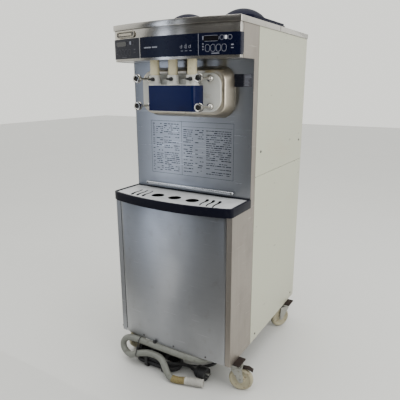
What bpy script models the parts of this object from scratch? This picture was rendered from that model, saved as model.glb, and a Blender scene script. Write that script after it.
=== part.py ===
"""Floor-standing twin-flavour soft serve machine on swivel casters.

Metres, +Z up, front towards -Y. The origin is on the floor under the middle of the machine.
"""

from math import acos, cos, degrees, hypot, pi, radians, sin

import bmesh
import bpy
from mathutils import Euler, Matrix, Vector

# ---- overall sizes -------------------------------------------------------------------------
CABINET_WIDTH = 0.550
CABINET_BACK_Y = 0.392
GROUND_CLEARANCE = 0.132
LOWER_HEIGHT = 0.621
RECESS_HEIGHT = 0.515
HEAD_HEIGHT = 0.1135
LID_RIM = 0.0205

SKIN = 0.0015  # sheet steel of the casing
GAP = 0.0003  # between pieces that touch
FIT = 0.001  # between pieces that lift or slide apart
LAP = 0.0004  # by which joined shapes stand past each other

HALF = CABINET_WIDTH / 2
TRAY_BOTTOM_Z = GROUND_CLEARANCE + LOWER_HEIGHT

# ---- front faces: corner position and bow of each ------------------------------------------
SPLASH_Y = -0.186
FRONT_Y = -0.339
FRONT_BOW = 0.010
FRONT_RETURN = 0.012
HEAD_Y = -0.300
HEAD_BOW = 0.034
HEAD_WRAP = 0.022
TRAY_Y = -0.352
TRAY_BOW = 0.040
TRAY_RIM = 0.035

TRAY_TOP_Z = TRAY_BOTTOM_Z + TRAY_RIM
HEAD_FLOOR_Z = TRAY_TOP_Z + RECESS_HEIGHT
LID_BOTTOM_Z = HEAD_FLOOR_Z + HEAD_HEIGHT
LID_TOP_Z = LID_BOTTOM_Z + LID_RIM

# ---- casing --------------------------------------------------------------------------------
TRIM_FLANGE = 0.023  # the side trim's return onto the front
PANEL_FRONT_Y = SPLASH_Y + 0.035
LOWER_PANEL_TOP_Z = GROUND_CLEARANCE + 0.735
PAN_THICKNESS = 0.004
PAN_LIFT = 0.001
COVER_OVERHANG = 0.003
LOUVRE_COUNT = 9
LOUVRE_PITCH = 0.032
LOUVRE_SLOT = (0.300, 0.008)
LOUVRE_FIRST_Z = GROUND_CLEARANCE + 0.070
BAND_HEIGHT = 0.072
BAND_LIFT = 0.0095
BAND_THICKNESS = 0.001
FRAME_TUBE = 0.020

# ---- tray ----------------------------------------------------------------------------------
TRAY_WALL = 0.010
TRAY_LEDGE = 0.006
TRAY_CORNER = 0.018
PLATE_THICKNESS = 0.0015
PLATE_DROP = 0.003  # plate's top face below the rim
TRAY_FLOOR = 0.004
CUP_HOLE_R = 0.0235
CUP_HOLE_PITCH = 0.082
HOLES_Y = -0.303
SLOT_X = (0.134, 0.162, 0.190)
SLOT_LENGTH = 0.084
SLOT_SWING = 0.006
SLOT_WIDTHS = (0.0095, 0.0030)
GUTTER_HALF = 0.211
GUTTER_DEPTH = 0.028
GUTTER_HEIGHT = 0.012
GUTTER_LIFT = 0.013
GUTTER_WALL = 0.0025

# ---- dispensing head -----------------------------------------------------------------------
DOOR_DROP = 0.115
DOOR_HALF = (0.176, 0.070)
DOOR_CORNER = 0.045
DOOR_THICKNESS = 0.0117
COLLAR_PROJECTION = 0.057
COLLAR_HALF_BACK = (0.200, 0.096)
COLLAR_HALF_FRONT = (0.187, 0.081)
COLLAR_CORNER = 0.052
COLLAR_WINDOW = (0.160, 0.056)
SPOUT_PITCH = 0.083
PLUNGER_R = 0.0175
PLUNGER_TIP_R = 0.012
PLUNGER_REACH = 0.042  # from the door's front face to the plunger's axis
PLUNGER_CLEARANCE = 0.0005
PLUNGER_HEAD_RISE = 0.030
SLEEVE_WALL = 0.0035
SLEEVE_RISE = 0.062  # above the door's centre
BLOCK_HALF = 0.1005
BLOCK_FRONT = 0.0630
BLOCK_RISE = 0.0280
BLOCK_DROP = 0.058
SHOULDER_RISE = 0.031
SPOUT_R = 0.010
COVER_DROP = 0.067
COVER_WALL = 0.002
COVER_CLEARANCE = 0.002
COVER_CORNER = 0.010
KNOB_X = 0.136
KNOB_RISE = 0.050
KNOB_LENGTH = 0.092
KNOB_R = 0.0155
KNOB_STEM_R = 0.0045
KNOB_BOSS_R = 0.0125

DOOR_Z = HEAD_FLOOR_Z - DOOR_DROP
COLLAR_FRONT_Y = SPLASH_Y - COLLAR_PROJECTION
DOOR_BACK_Y = COLLAR_FRONT_Y - GAP
DOOR_FRONT_Y = DOOR_BACK_Y - DOOR_THICKNESS
PLUNGER_Y = DOOR_FRONT_Y - PLUNGER_REACH

# ---- hoppers and lids ----------------------------------------------------------------------
HOPPER_X = 0.129
HOPPER_Y = 0.014
HOPPER_HALF = (0.098, 0.160)
HOPPER_CORNER = 0.035
HOPPER_DEPTH = 0.160
HOPPER_WALL = 0.002
HOPPER_FLANGE = 0.012
HOPPER_OUTLET_R = 0.012
LID_HALF = (0.121, 0.184)
LID_CORNER = 0.040
LID_SKIRT = 0.020
LID_WALL = 0.003
DOME_R = 0.098
DOME_RISE = 0.0495

# ---- freezing and drive parts --------------------------------------------------------------
BARREL_R = 0.056
BARREL_BORE_R = 0.046
BARREL_BACK_Y = 0.120
BARREL_END = 0.012
SHAFT_R = 0.010
SHAFT_CLEARANCE = 0.0005
SHAFT_END_Y = 0.215
BEATER_SWEEP = 0.003  # between the scraper bars and the barrel's bore
PULLEY_R = 0.055
PULLEY_WIDTH = 0.020
PULLEY_Y = 0.165
MOTOR_PULLEY_R = 0.028
MOTOR_DROP = 0.210
MOTOR_R = 0.068
MOTOR_LENGTH = 0.170
MOTOR_SHAFT_R = 0.008
BELT_THICKNESS = 0.004
BELT_CLEARANCE = 0.0008
COMPRESSOR_AT = (-0.120, 0.060)
COMPRESSOR_R = 0.078
COMPRESSOR_HEIGHT = 0.190
CONDENSER_AT = (0.0, 0.270)
CONDENSER_SIZE = (0.300, 0.050, 0.290)
FAN_R = 0.115
FAN_HUB_R = 0.032
FAN_SPACE = 0.020
CONTROL_BOX_SIZE = (0.110, 0.055, 0.080)

MOTOR_Z = DOOR_Z - MOTOR_DROP

# ---- casters -------------------------------------------------------------------------------
WHEEL_R = 0.050
WHEEL_WIDTH = 0.025
WHEEL_HUB_R = 0.016
AXLE_R = 0.005
BORE_CLEARANCE = 0.0003
CASTER_TRAIL = 0.028
FORK_WALL = 0.003
FORK_SIDE_CLEARANCE = 0.002
RACEWAY_R = 0.024
CROWN_THICKNESS = 0.005
CROWN_CLEARANCE = 0.0035
CASTER_PLATE = (0.070, 0.060, 0.0057)
CASTER_X = HALF - 0.007
CASTER_FRONT_Y = -0.282
CASTER_REAR_Y = 0.292
PEDAL_WIDTH = 0.022
# side, row and heading of each caster's trail, in degrees from +X
CASTERS = {
    "front_left": (-1, CASTER_FRONT_Y, 78.0),
    "front_right": (1, CASTER_FRONT_Y, 16.0),
    "rear_left": (-1, CASTER_REAR_Y, 170.0),
    "rear_right": (1, CASTER_REAR_Y, 236.0),
}

# ---- hose and mains cable ------------------------------------------------------------------
HOSE_D = 0.028
CUFF_R = 0.0175
DRAIN_X = 0.177
DRAIN_Y = -0.205
HOSE_ROUTE = [
    (0.1770, -0.2285, 0.1140),
    (0.1770, -0.2500, 0.1140),
    (0.1700, -0.2880, 0.1148),
    (0.1430, -0.3260, 0.1158),
    (0.1000, -0.3440, 0.1162),
    (0.0400, -0.3500, 0.1165),
    (-0.0500, -0.3510, 0.1165),
    (-0.1400, -0.3510, 0.1165),
    (-0.2050, -0.3515, 0.1150),
    (-0.2440, -0.3530, 0.1040),
    (-0.2620, -0.3560, 0.0790),
    (-0.2560, -0.3610, 0.0550),
    (-0.2340, -0.3660, 0.0410),
    (-0.2060, -0.3740, 0.0430),
    (-0.1780, -0.3770, 0.0570),
    (-0.1480, -0.3740, 0.0705),
    (-0.1150, -0.3640, 0.0755),
    (-0.0700, -0.3610, 0.0760),
    (-0.0400, -0.3670, 0.0720),
    (-0.0150, -0.3800, 0.0570),
    (0.0000, -0.3860, 0.0380),
    (0.0180, -0.3880, 0.0210),
    (0.0420, -0.3840, 0.0152),
    (0.0680, -0.3760, 0.0160),
    (0.0860, -0.3700, 0.0180),
]
CUFF_END = (0.1570, -0.3480, 0.0180)
CORD_D = 0.0135
GLAND_AT = (0.145, -0.110)
HANK_CENTRE = (-0.0925, -0.3120)
HANK_RUN = 0.140  # straight part of each run
HANK_FOLD_R = 0.0405  # centre line of the end loops
HANK_LAYERS = 4
CORD_ROUTE = [
    (0.1450, -0.1100, 0.1155),
    (0.1450, -0.1100, 0.0980),
    (0.1445, -0.1180, 0.0700),
    (0.1425, -0.1360, 0.0450),
    (0.1380, -0.1600, 0.0240),
    (0.1300, -0.1900, 0.0110),
    (0.1150, -0.2180, 0.0080),
    (0.0920, -0.2430, 0.0078),
    (0.0620, -0.2590, 0.0078),
    (0.0350, -0.2680, 0.0078),
    (0.0110, -0.2700, 0.0078),
]
CORD_TAIL_ROUTE = [
    (0.0325, -0.3152, 0.0440),
    (0.0395, -0.3078, 0.0392),
    (0.0475, -0.3012, 0.0335),
    (0.0575, -0.2967, 0.0300),
    (0.0691, -0.2979, 0.0300),
]
PLUG_FROM = (0.0700, -0.2980, 0.0300)
PLUG_TO = (0.1500, -0.3060, 0.0300)
PLUG_R = 0.0285

SMOOTH_ANGLE = 40.0  # degrees between faces that stay sharp
ROUND_STEPS = 16  # sides of a large round piece
SMALL_STEPS = 12  # sides of a small one
BOW_STEPS = 12  # straight lengths in a bowed front
CORNER_STEPS = 3  # straight lengths in a round corner


# ---- scene helpers -------------------------------------------------------------------------
def clear_scene():
    for obj in list(bpy.data.objects):
        bpy.data.objects.remove(obj, do_unlink=True)


def collection(name):
    made = bpy.data.collections.new(name)
    bpy.context.scene.collection.children.link(made)
    return made


def look(name, colour, roughness, metallic):
    made = bpy.data.materials.new(name)
    made.use_nodes = True
    shader = made.node_tree.nodes["Principled BSDF"]
    shader.inputs["Base Color"].default_value = (*colour, 1.0)
    shader.inputs["Roughness"].default_value = roughness
    shader.inputs["Metallic"].default_value = metallic
    return made


def make_looks():
    return {
        "steel": look("steel", (0.55, 0.56, 0.57), 0.35, 1.0),
        "warm_steel": look("warm_steel", (0.58, 0.54, 0.49), 0.40, 1.0),
        "ivory": look("ivory", (0.52, 0.53, 0.43), 0.45, 0.0),
        "navy": look("navy", (0.005, 0.010, 0.035), 0.25, 0.0),
        "blue": look("blue", (0.003, 0.012, 0.095), 0.30, 0.0),
        "white": look("white", (0.72, 0.72, 0.66), 0.35, 0.0),
        "cream": look("cream", (0.70, 0.64, 0.44), 0.40, 0.0),
        "chrome": look("chrome", (0.75, 0.75, 0.75), 0.12, 1.0),
        "zinc": look("zinc", (0.45, 0.47, 0.47), 0.45, 1.0),
        "rubber": look("rubber", (0.010, 0.010, 0.010), 0.60, 0.0),
        "grey": look("grey", (0.22, 0.22, 0.20), 0.55, 0.0),
        "wheel": look("wheel", (0.55, 0.48, 0.30), 0.50, 0.0),
        "dark_metal": look("dark_metal", (0.06, 0.06, 0.06), 0.50, 1.0),
    }


def place(name, mesh, material, origin=(0.0, 0.0, 0.0), where=None):
    """Link a mesh given in world coordinates, with the object's origin at the given point."""
    mesh.name = name
    mesh.transform(Matrix.Translation(-Vector(origin)))
    if material is not None:
        mesh.materials.clear()
        mesh.materials.append(material)
    mesh.shade_smooth()
    mesh.set_sharp_from_angle(angle=radians(SMOOTH_ANGLE))
    obj = bpy.data.objects.new(name, mesh)
    obj.location = origin
    (where or PARTS).objects.link(obj)
    if where is CUTTERS:
        obj.hide_render = True
        obj.display_type = "WIRE"
    return obj


def box(name, low, high, material, **where):
    body = bmesh.new()
    size = [b - a for a, b in zip(low, high)]
    middle = [(a + b) / 2 for a, b in zip(low, high)]
    matrix = Matrix.Translation(middle) @ Matrix.Diagonal((*size, 1.0))
    bmesh.ops.create_cube(body, size=1.0, matrix=matrix)
    mesh = bpy.data.meshes.new(name)
    body.to_mesh(mesh)
    body.free()
    return place(name, mesh, material, **where)


def along(axis, at=(0.0, 0.0, 0.0)):
    """Matrix that takes local Z to the given axis: X, Y, Z or -Y."""
    turns = {
        "X": Euler((0.0, pi / 2, 0.0)),
        "Y": Euler((-pi / 2, 0.0, 0.0)),
        "-Y": Euler((pi / 2, 0.0, 0.0)),
        "Z": Euler((0.0, 0.0, 0.0)),
    }
    return Matrix.Translation(at) @ turns[axis].to_matrix().to_4x4()


def cylinder(name, radius, length, matrix, material, steps=SMALL_STEPS, **where):
    """A cylinder that runs along the matrix's local Z from 0 to length."""
    body = bmesh.new()
    bmesh.ops.create_cone(
        body,
        cap_ends=True,
        segments=steps,
        radius1=radius,
        radius2=radius,
        depth=length,
        matrix=matrix @ Matrix.Translation((0.0, 0.0, length / 2)),
    )
    mesh = bpy.data.meshes.new(name)
    body.to_mesh(mesh)
    body.free()
    return place(name, mesh, material, **where)


def turned(name, profile, matrix, material, steps=ROUND_STEPS, where=None, closed=False):
    """Turn a profile of (radius, height) about local Z; it runs down the outer side."""
    edges = [(i, i + 1) for i in range(len(profile) - 1)]
    if closed:
        edges.append((len(profile) - 1, 0))
    mesh = bpy.data.meshes.new(name)
    mesh.from_pydata([(r, 0.0, h) for r, h in profile], edges, [])
    mesh.materials.append(material)
    obj = bpy.data.objects.new(name, mesh)
    obj.matrix_world = matrix
    (where or PARTS).objects.link(obj)
    screw = obj.modifiers.new("turn", "SCREW")
    screw.steps = steps
    screw.render_steps = steps
    screw.use_merge_vertices = True
    screw.merge_threshold = 0.00001
    screw.use_smooth_shade = True
    if where is CUTTERS:
        obj.hide_render = True
        obj.display_type = "WIRE"
    return obj


FRAMES = {
    "X": Matrix(((0, 0, 1, 0), (1, 0, 0, 0), (0, 1, 0, 0), (0, 0, 0, 1))),
    "Y": Matrix(((1, 0, 0, 0), (0, 0, -1, 0), (0, 1, 0, 0), (0, 0, 0, 1))),
    "Z": Matrix.Identity(4),
}


def prism(name, outline, low, high, axis, material, holes=(), matrix=None, **where):
    """A flat outline with holes, given in the plane square to axis, between two stations on it."""
    curve = bpy.data.curves.new(name, "CURVE")
    curve.dimensions = "2D"
    curve.fill_mode = "BOTH"
    curve.extrude = (high - low) / 2
    for points in (outline, *holes):
        spline = curve.splines.new("POLY")
        spline.points.add(len(points) - 1)
        for point, (u, v) in zip(spline.points, points):
            point.co = (u, v, 0.0, 1.0)
        spline.use_cyclic_u = True
    guide = bpy.data.objects.new(name + "_outline", curve)
    CUTTERS.objects.link(guide)
    mesh = bpy.data.meshes.new_from_object(guide.evaluated_get(bpy.context.evaluated_depsgraph_get()))
    bpy.data.objects.remove(guide, do_unlink=True)
    bpy.data.curves.remove(curve)
    body = bmesh.new()
    body.from_mesh(mesh)
    bmesh.ops.remove_doubles(body, verts=body.verts, dist=0.000001)
    body.to_mesh(mesh)
    body.free()
    middle = (low + high) / 2
    shift = {"X": (middle, 0, 0), "Y": (0, middle, 0), "Z": (0, 0, middle)}[axis]
    mesh.transform(Matrix.Translation(shift) @ FRAMES[axis])
    if matrix is not None:
        mesh.transform(matrix)
    return place(name, mesh, material, **where)


def tube(name, points, diameter, material, spacing):
    """A round cord or hose along a smooth curve through the points, as a capped tube."""
    curve = bpy.data.curves.new(name, "CURVE")
    curve.dimensions = "3D"
    curve.bevel_depth = diameter / 2
    curve.bevel_resolution = 2
    curve.use_fill_caps = True
    smooth = even_points(points, spacing)
    spline = curve.splines.new("POLY")
    spline.points.add(len(smooth) - 1)
    for point, at in zip(spline.points, smooth):
        point.co = (*at, 1.0)
    curve.materials.append(material)
    obj = bpy.data.objects.new(name, curve)
    PARTS.objects.link(obj)
    return obj


def meshed(obj):
    """Turn a curve object into a closed mesh object of the same name."""
    name = obj.name
    mesh = bpy.data.meshes.new_from_object(obj.evaluated_get(bpy.context.evaluated_depsgraph_get()))
    body = bmesh.new()
    body.from_mesh(mesh)
    bmesh.ops.remove_doubles(body, verts=body.verts, dist=0.000001)
    body.to_mesh(mesh)
    body.free()
    matrix = obj.matrix_world.copy()
    bpy.data.objects.remove(obj, do_unlink=True)
    made = place(name, mesh, None)
    made.matrix_world = matrix
    return made


def boolean(obj, others, operation):
    for other in others:
        step = obj.modifiers.new(operation.lower(), "BOOLEAN")
        step.operation = operation
        step.solver = "EXACT"
        step.object = other
    return obj


def fuse(obj, *others):
    return boolean(obj, others, "UNION")


def cut(obj, *others):
    return boolean(obj, others, "DIFFERENCE")


def soften(obj, width, segments=2):
    step = obj.modifiers.new("edges", "BEVEL")
    step.width = width
    step.segments = segments
    step.limit_method = "ANGLE"
    step.angle_limit = radians(35)
    return obj


# ---- outlines ------------------------------------------------------------------------------
def arc(centre, radius, start, end, steps):
    """Points on a circle between two angles in degrees."""
    turn = [radians(start + (end - start) * i / steps) for i in range(steps + 1)]
    return [(centre[0] + radius * cos(a), centre[1] + radius * sin(a)) for a in turn]


def circle(centre, radius, steps=ROUND_STEPS):
    return arc(centre, radius, 0, 360 * (steps - 1) / steps, steps - 1)


def rounded(centre, half, corner, steps=CORNER_STEPS):
    """A rectangle with round corners, anticlockwise."""
    points = []
    for sx, sy, start in ((1, 1, 0), (-1, 1, 90), (-1, -1, 180), (1, -1, 270)):
        middle = (centre[0] + sx * (half[0] - corner), centre[1] + sy * (half[1] - corner))
        points += arc(middle, corner, start, start + 90, steps)
    return points


def bowed(half, corner_y, bow, steps=BOW_STEPS):
    """A shallow arc from -half to +half that bulges forward by bow."""
    radius = (half * half + bow * bow) / (2 * bow)
    centre_y = corner_y - bow + radius
    reach = degrees(acos((radius - bow) / radius))
    return arc((0.0, centre_y), radius, 270 - reach, 270 + reach, steps)


def offset(path, distance):
    """The path moved to its left by distance, with mitred corners."""
    moved = []
    for i, here in enumerate(path):
        before = path[i - 1] if i > 0 else None
        after = path[i + 1] if i < len(path) - 1 else None
        sides = []
        for a, b in ((before, here), (here, after)):
            if a is not None and b is not None:
                run = hypot(b[0] - a[0], b[1] - a[1])
                sides.append(((a[1] - b[1]) / run, (b[0] - a[0]) / run))
        nx = sum(s[0] for s in sides) / len(sides)
        ny = sum(s[1] for s in sides) / len(sides)
        stretch = distance / (nx * nx + ny * ny)
        moved.append((here[0] + nx * stretch, here[1] + ny * stretch))
    return moved


def ribbon(path, thickness):
    """Closed outline of a strip that lies to the left of the path."""
    return list(path) + offset(path, thickness)[::-1]


def u_path(half, front, back, corner):
    """A U seen from above: back, round the two front corners, and back again."""
    return [
        (-half, back),
        *arc((-half + corner, front + corner), corner, 180, 270, CORNER_STEPS),
        *arc((half - corner, front + corner), corner, 270, 360, CORNER_STEPS),
        (half, back),
    ]


def front_corner(points, radius, steps=CORNER_STEPS):
    """Round the first and last corner of a path whose ends turn back along Y."""
    start, end = points[0], points[-1]
    left = arc((start[0] + radius, start[1] + radius), radius, 180, 255, steps)
    right = arc((end[0] - radius, end[1] + radius), radius, 285, 360, steps)
    inner = [p for p in points if abs(p[0]) < abs(start[0]) - radius * 1.1]
    return left + inner + right


def curve_through(points, samples=12):
    """Catmull-Rom curve through the points."""
    vectors = [Vector(p) for p in points]
    ends = [vectors[0] * 2 - vectors[1], *vectors, vectors[-1] * 2 - vectors[-2]]
    line = []
    for i in range(1, len(ends) - 2):
        a, b, c, d = ends[i - 1 : i + 3]
        for k in range(samples):
            t = k / samples
            line.append(
                0.5
                * (2 * b + (c - a) * t + (2 * a - 5 * b + 4 * c - d) * t**2 + (3 * b - a - 3 * c + d) * t**3)
            )
    return [*line, vectors[-1]]


def even_points(points, spacing):
    """Points about one spacing apart along the smooth curve through the given points."""
    line = curve_through(points)
    lengths = [0.0]
    for a, b in zip(line, line[1:]):
        lengths.append(lengths[-1] + (b - a).length)
    count = max(2, round(lengths[-1] / spacing))
    result = []
    for i in range(count + 1):
        target = lengths[-1] * i / count
        k = next((j for j, s in enumerate(lengths) if s >= target - 1e-9), len(lengths) - 1)
        if k == 0:
            result.append(line[0])
            continue
        share = (target - lengths[k - 1]) / (lengths[k] - lengths[k - 1])
        result.append(line[k - 1].lerp(line[k], share))
    return result


# ---- casing --------------------------------------------------------------------------------
def base_pan():
    inside = HALF - SKIN - GAP
    front = FRONT_Y + FRONT_RETURN + FIT
    low = GROUND_CLEARANCE + PAN_LIFT
    pan = box(
        "base_pan",
        (-inside, front, low),
        (inside, CABINET_BACK_Y - SKIN - GAP, low + PAN_THICKNESS),
        LOOKS["warm_steel"],
    )
    added = []
    for name, (side, row, _) in CASTERS.items():
        x, half_x, half_y = side * CASTER_X, CASTER_PLATE[0] / 2, CASTER_PLATE[1] / 2
        top = GROUND_CLEARANCE - GAP
        added.append(
            box(
                f"{name}_plate",
                (x - half_x, row - half_y, top - CASTER_PLATE[2]),
                (x + half_x, row + half_y, top),
                None,
                where=CUTTERS,
            )
        )
        reach = inside - FIT
        inner = side * (CASTER_X - half_x)
        added.append(
            box(
                f"{name}_packer",
                (min(inner, side * reach), row - half_y * 0.7, top - 0.001),
                (max(inner, side * reach), row + half_y * 0.7, low + 0.001),
                None,
                where=CUTTERS,
            )
        )
    gland = (*GLAND_AT, 0.116)
    added.append(
        cylinder(
            "gland", 0.010, low + 0.002 - gland[2], along("Z", gland), None, where=CUTTERS
        )
    )
    elbow_z = HOSE_ROUTE[0][2]
    added.append(
        cylinder(
            "drain_drop",
            0.013,
            low + 0.002 - elbow_z + 0.010,
            along("Z", (DRAIN_X, DRAIN_Y, elbow_z - 0.010)),
            None,
            where=CUTTERS,
        )
    )
    nipple = DRAIN_Y - HOSE_ROUTE[0][1] - 2 * GAP
    added.append(
        cylinder(
            "drain_nipple",
            0.0095,
            nipple,
            along("-Y", (DRAIN_X, DRAIN_Y, elbow_z)),
            None,
            where=CUTTERS,
        )
    )
    return fuse(pan, *added)


def bar(name, start, end, size):
    """A square frame member between two points that differ along one axis."""
    low = [min(a, b) - size / 2 for a, b in zip(start, end)]
    high = [max(a, b) + size / 2 for a, b in zip(start, end)]
    return box(name, low, high, None, where=MEMBERS)


def chassis_frame():
    tube_half = FRAME_TUBE / 2
    x = HALF - SKIN - FIT - tube_half
    front = FRONT_Y + FRONT_RETURN + FIT + tube_half
    middle = SPLASH_Y + SKIN + FIT + tube_half
    back = CABINET_BACK_Y - SKIN - FIT - tube_half
    base = GROUND_CLEARANCE + PAN_LIFT + PAN_THICKNESS + GAP + tube_half
    tray = TRAY_BOTTOM_Z - FIT - tube_half
    top = LID_BOTTOM_Z - FIT - tube_half
    shelf = MOTOR_Z - MOTOR_R - GAP - tube_half
    rail = MOTOR_R * 0.6
    inner = x - 0.006
    main = box(
        "chassis_frame",
        (-x - tube_half, back - tube_half, base - tube_half),
        (x + tube_half, back + tube_half, base + tube_half),
        LOOKS["zinc"],
    )
    for side in (-1, 1):
        tag = "left" if side < 0 else "right"
        bar(f"post_rear_{tag}", (side * x, back, base), (side * x, back, top), FRAME_TUBE)
        bar(f"post_middle_{tag}", (side * x, middle, base), (side * x, middle, top), FRAME_TUBE)
        bar(f"post_front_{tag}", (side * inner, front, base), (side * inner, front, tray), FRAME_TUBE)
        bar(f"sill_{tag}", (side * x, front, base), (side * x, back, base), FRAME_TUBE)
        bar(f"rail_tray_{tag}", (side * x, front, tray), (side * x, middle, tray), FRAME_TUBE)
        bar(f"rail_shelf_{tag}", (side * x, middle, shelf), (side * x, back, shelf), FRAME_TUBE)
        bar(f"rail_top_{tag}", (side * x, middle, top), (side * x, back, top), FRAME_TUBE)
        bar(f"rail_motor_{tag}", (side * rail, middle, shelf), (side * rail, back, shelf), FRAME_TUBE)
    bar("cross_tray", (-x, front, tray), (x, front, tray), FRAME_TUBE)
    bar("cross_shelf_front", (-x, middle, shelf), (x, middle, shelf), FRAME_TUBE)
    bar("cross_shelf_rear", (-x, back, shelf), (x, back, shelf), FRAME_TUBE)
    bar("cross_top_rear", (-x, back, top), (x, back, top), FRAME_TUBE)
    step = main.modifiers.new("weld", "BOOLEAN")
    step.operation = "UNION"
    step.solver = "EXACT"
    step.operand_type = "COLLECTION"
    step.collection = MEMBERS
    return main


def side_trim(side):
    """C-shaped stainless trim at the front edge of one side, with a return onto the front."""
    tag = "left" if side < 0 else "right"
    head_y = HEAD_Y + HEAD_WRAP + FIT
    tray_back = SPLASH_Y - FIT
    outline = [
        (FRONT_Y, GROUND_CLEARANCE),
        (PANEL_FRONT_Y, GROUND_CLEARANCE),
        (PANEL_FRONT_Y, LID_BOTTOM_Z - GAP),
        (head_y, LID_BOTTOM_Z - GAP),
        (head_y, HEAD_FLOOR_Z),
        (tray_back, HEAD_FLOOR_Z),
        (tray_back, TRAY_BOTTOM_Z - GAP),
        (FRONT_Y, TRAY_BOTTOM_Z - GAP),
    ]
    ends = sorted((side * (HALF - SKIN), side * HALF))
    trim = prism(f"side_trim_{tag}", outline, *ends, "X", LOOKS["warm_steel"])
    edge = sorted((side * (HALF - TRIM_FLANGE), side * (HALF - SKIN / 3)))
    flange = box(
        f"flange_{tag}",
        (edge[0], FRONT_Y, GROUND_CLEARANCE),
        (edge[1], FRONT_Y + SKIN, TRAY_BOTTOM_Z - GAP),
        None,
        where=CUTTERS,
    )
    return fuse(trim, flange)


def side_panel(side, level):
    """One painted side panel, with a small step all round where its edges fold in."""
    tag = "left" if side < 0 else "right"
    low_z = GROUND_CLEARANCE if level == "lower" else LOWER_PANEL_TOP_Z + FIT / 2
    high_z = LOWER_PANEL_TOP_Z - FIT / 2 if level == "lower" else LID_BOTTOM_Z - GAP
    ends = sorted((side * (HALF - SKIN), side * (HALF + SKIN / 3)))
    panel = box(
        f"{level}_side_panel_{tag}",
        (ends[0], PANEL_FRONT_Y + FIT, low_z),
        (ends[1], CABINET_BACK_Y - SKIN - FIT, high_z),
        LOOKS["ivory"],
    )
    return soften(panel, SKIN / 3, 1)


def rear_panel():
    """Louvred back panel."""
    width, height = LOUVRE_SLOT
    half = HALF - FIT
    slots = [
        rounded((0.0, LOUVRE_FIRST_Z + LOUVRE_PITCH * i), (width / 2, height / 2), height * 0.45, 2)
        for i in range(LOUVRE_COUNT)
    ]
    outline = [
        (-half, GROUND_CLEARANCE),
        (half, GROUND_CLEARANCE),
        (half, LID_BOTTOM_Z - GAP),
        (-half, LID_BOTTOM_Z - GAP),
    ]
    return prism(
        "rear_panel", outline, CABINET_BACK_Y - SKIN, CABINET_BACK_Y, "Y", LOOKS["ivory"], holes=slots
    )


def splash_panel():
    """Back wall of the serving space, with a round hole for each freezing cylinder."""
    half = HALF - SKIN - GAP
    outline = [
        (-half, TRAY_BOTTOM_Z),
        (half, TRAY_BOTTOM_Z),
        (half, HEAD_FLOOR_Z + SKIN),
        (-half, HEAD_FLOOR_Z + SKIN),
    ]
    holes = [circle((side * SPOUT_PITCH, DOOR_Z), BARREL_R + FIT) for side in (-1, 1)]
    return prism("splash_panel", outline, SPLASH_Y, SPLASH_Y + SKIN, "Y", LOOKS["steel"], holes=holes)


def lower_front_panel():
    half = HALF - TRIM_FLANGE - FIT
    front = bowed(half, FRONT_Y, FRONT_BOW)
    path = [(-half, FRONT_Y + FRONT_RETURN), *front, (half, FRONT_Y + FRONT_RETURN)]
    return prism(
        "lower_front_panel",
        ribbon(path, SKIN),
        GROUND_CLEARANCE,
        TRAY_BOTTOM_Z - GAP,
        "Z",
        LOOKS["steel"],
    )


def head_path():
    front = bowed(HALF, HEAD_Y, HEAD_BOW)
    return [(-HALF, HEAD_Y + HEAD_WRAP), *front, (HALF, HEAD_Y + HEAD_WRAP)]


def head_fascia():
    return prism(
        "head_fascia", ribbon(head_path(), SKIN), HEAD_FLOOR_Z, LID_BOTTOM_Z - GAP, "Z", LOOKS["steel"]
    )


def control_band():
    """Film with the key panels, wrapped over the fascia and round its corners."""
    inner = offset(head_path(), -GAP)
    outer = offset(head_path(), -GAP - BAND_THICKNESS)
    return prism(
        "control_band",
        outer + inner[::-1],
        HEAD_FLOOR_Z + BAND_LIFT,
        HEAD_FLOOR_Z + BAND_LIFT + BAND_HEIGHT,
        "Z",
        LOOKS["navy"],
    )


def head_floor():
    half = HALF - SKIN - GAP
    front = bowed(half, HEAD_Y + SKIN + GAP, HEAD_BOW)
    outline = [*front, (half, SPLASH_Y - GAP), (-half, SPLASH_Y - GAP)]
    holes = [circle((i * SPOUT_PITCH, PLUNGER_Y), PLUNGER_R + 2 * FIT, SMALL_STEPS) for i in (-1, 0, 1)]
    return prism(
        "head_floor",
        outline,
        HEAD_FLOOR_Z + SKIN,
        HEAD_FLOOR_Z + 2 * SKIN,
        "Z",
        LOOKS["steel"],
        holes=holes,
    )


def top_cover():
    """Folded top with an opening for each hopper."""
    half = HALF + COVER_OVERHANG
    front = bowed(half, HEAD_Y - COVER_OVERHANG, HEAD_BOW)
    outline = [*front, (half, CABINET_BACK_Y), (-half, CABINET_BACK_Y)]
    openings = [hopper_outline(side, HOPPER_WALL + FIT) for side in (-1, 1)]
    cover = prism("top_cover", outline, LID_BOTTOM_Z, LID_TOP_Z, "Z", LOOKS["steel"], holes=openings)
    inner_half = half - SKIN
    inner = [
        *bowed(inner_half, HEAD_Y - COVER_OVERHANG + SKIN, HEAD_BOW),
        (inner_half, CABINET_BACK_Y - SKIN),
        (-inner_half, CABINET_BACK_Y - SKIN),
    ]
    hollow = prism(
        "cover_hollow", inner, LID_BOTTOM_Z - FIT, LID_TOP_Z - SKIN, "Z", None, where=CUTTERS
    )
    return cut(cover, hollow)


# ---- hoppers -------------------------------------------------------------------------------
def hopper_outline(side, grow):
    half = (HOPPER_HALF[0] + grow, HOPPER_HALF[1] + grow)
    return rounded((side * HOPPER_X, HOPPER_Y), half, HOPPER_CORNER + grow)


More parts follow.
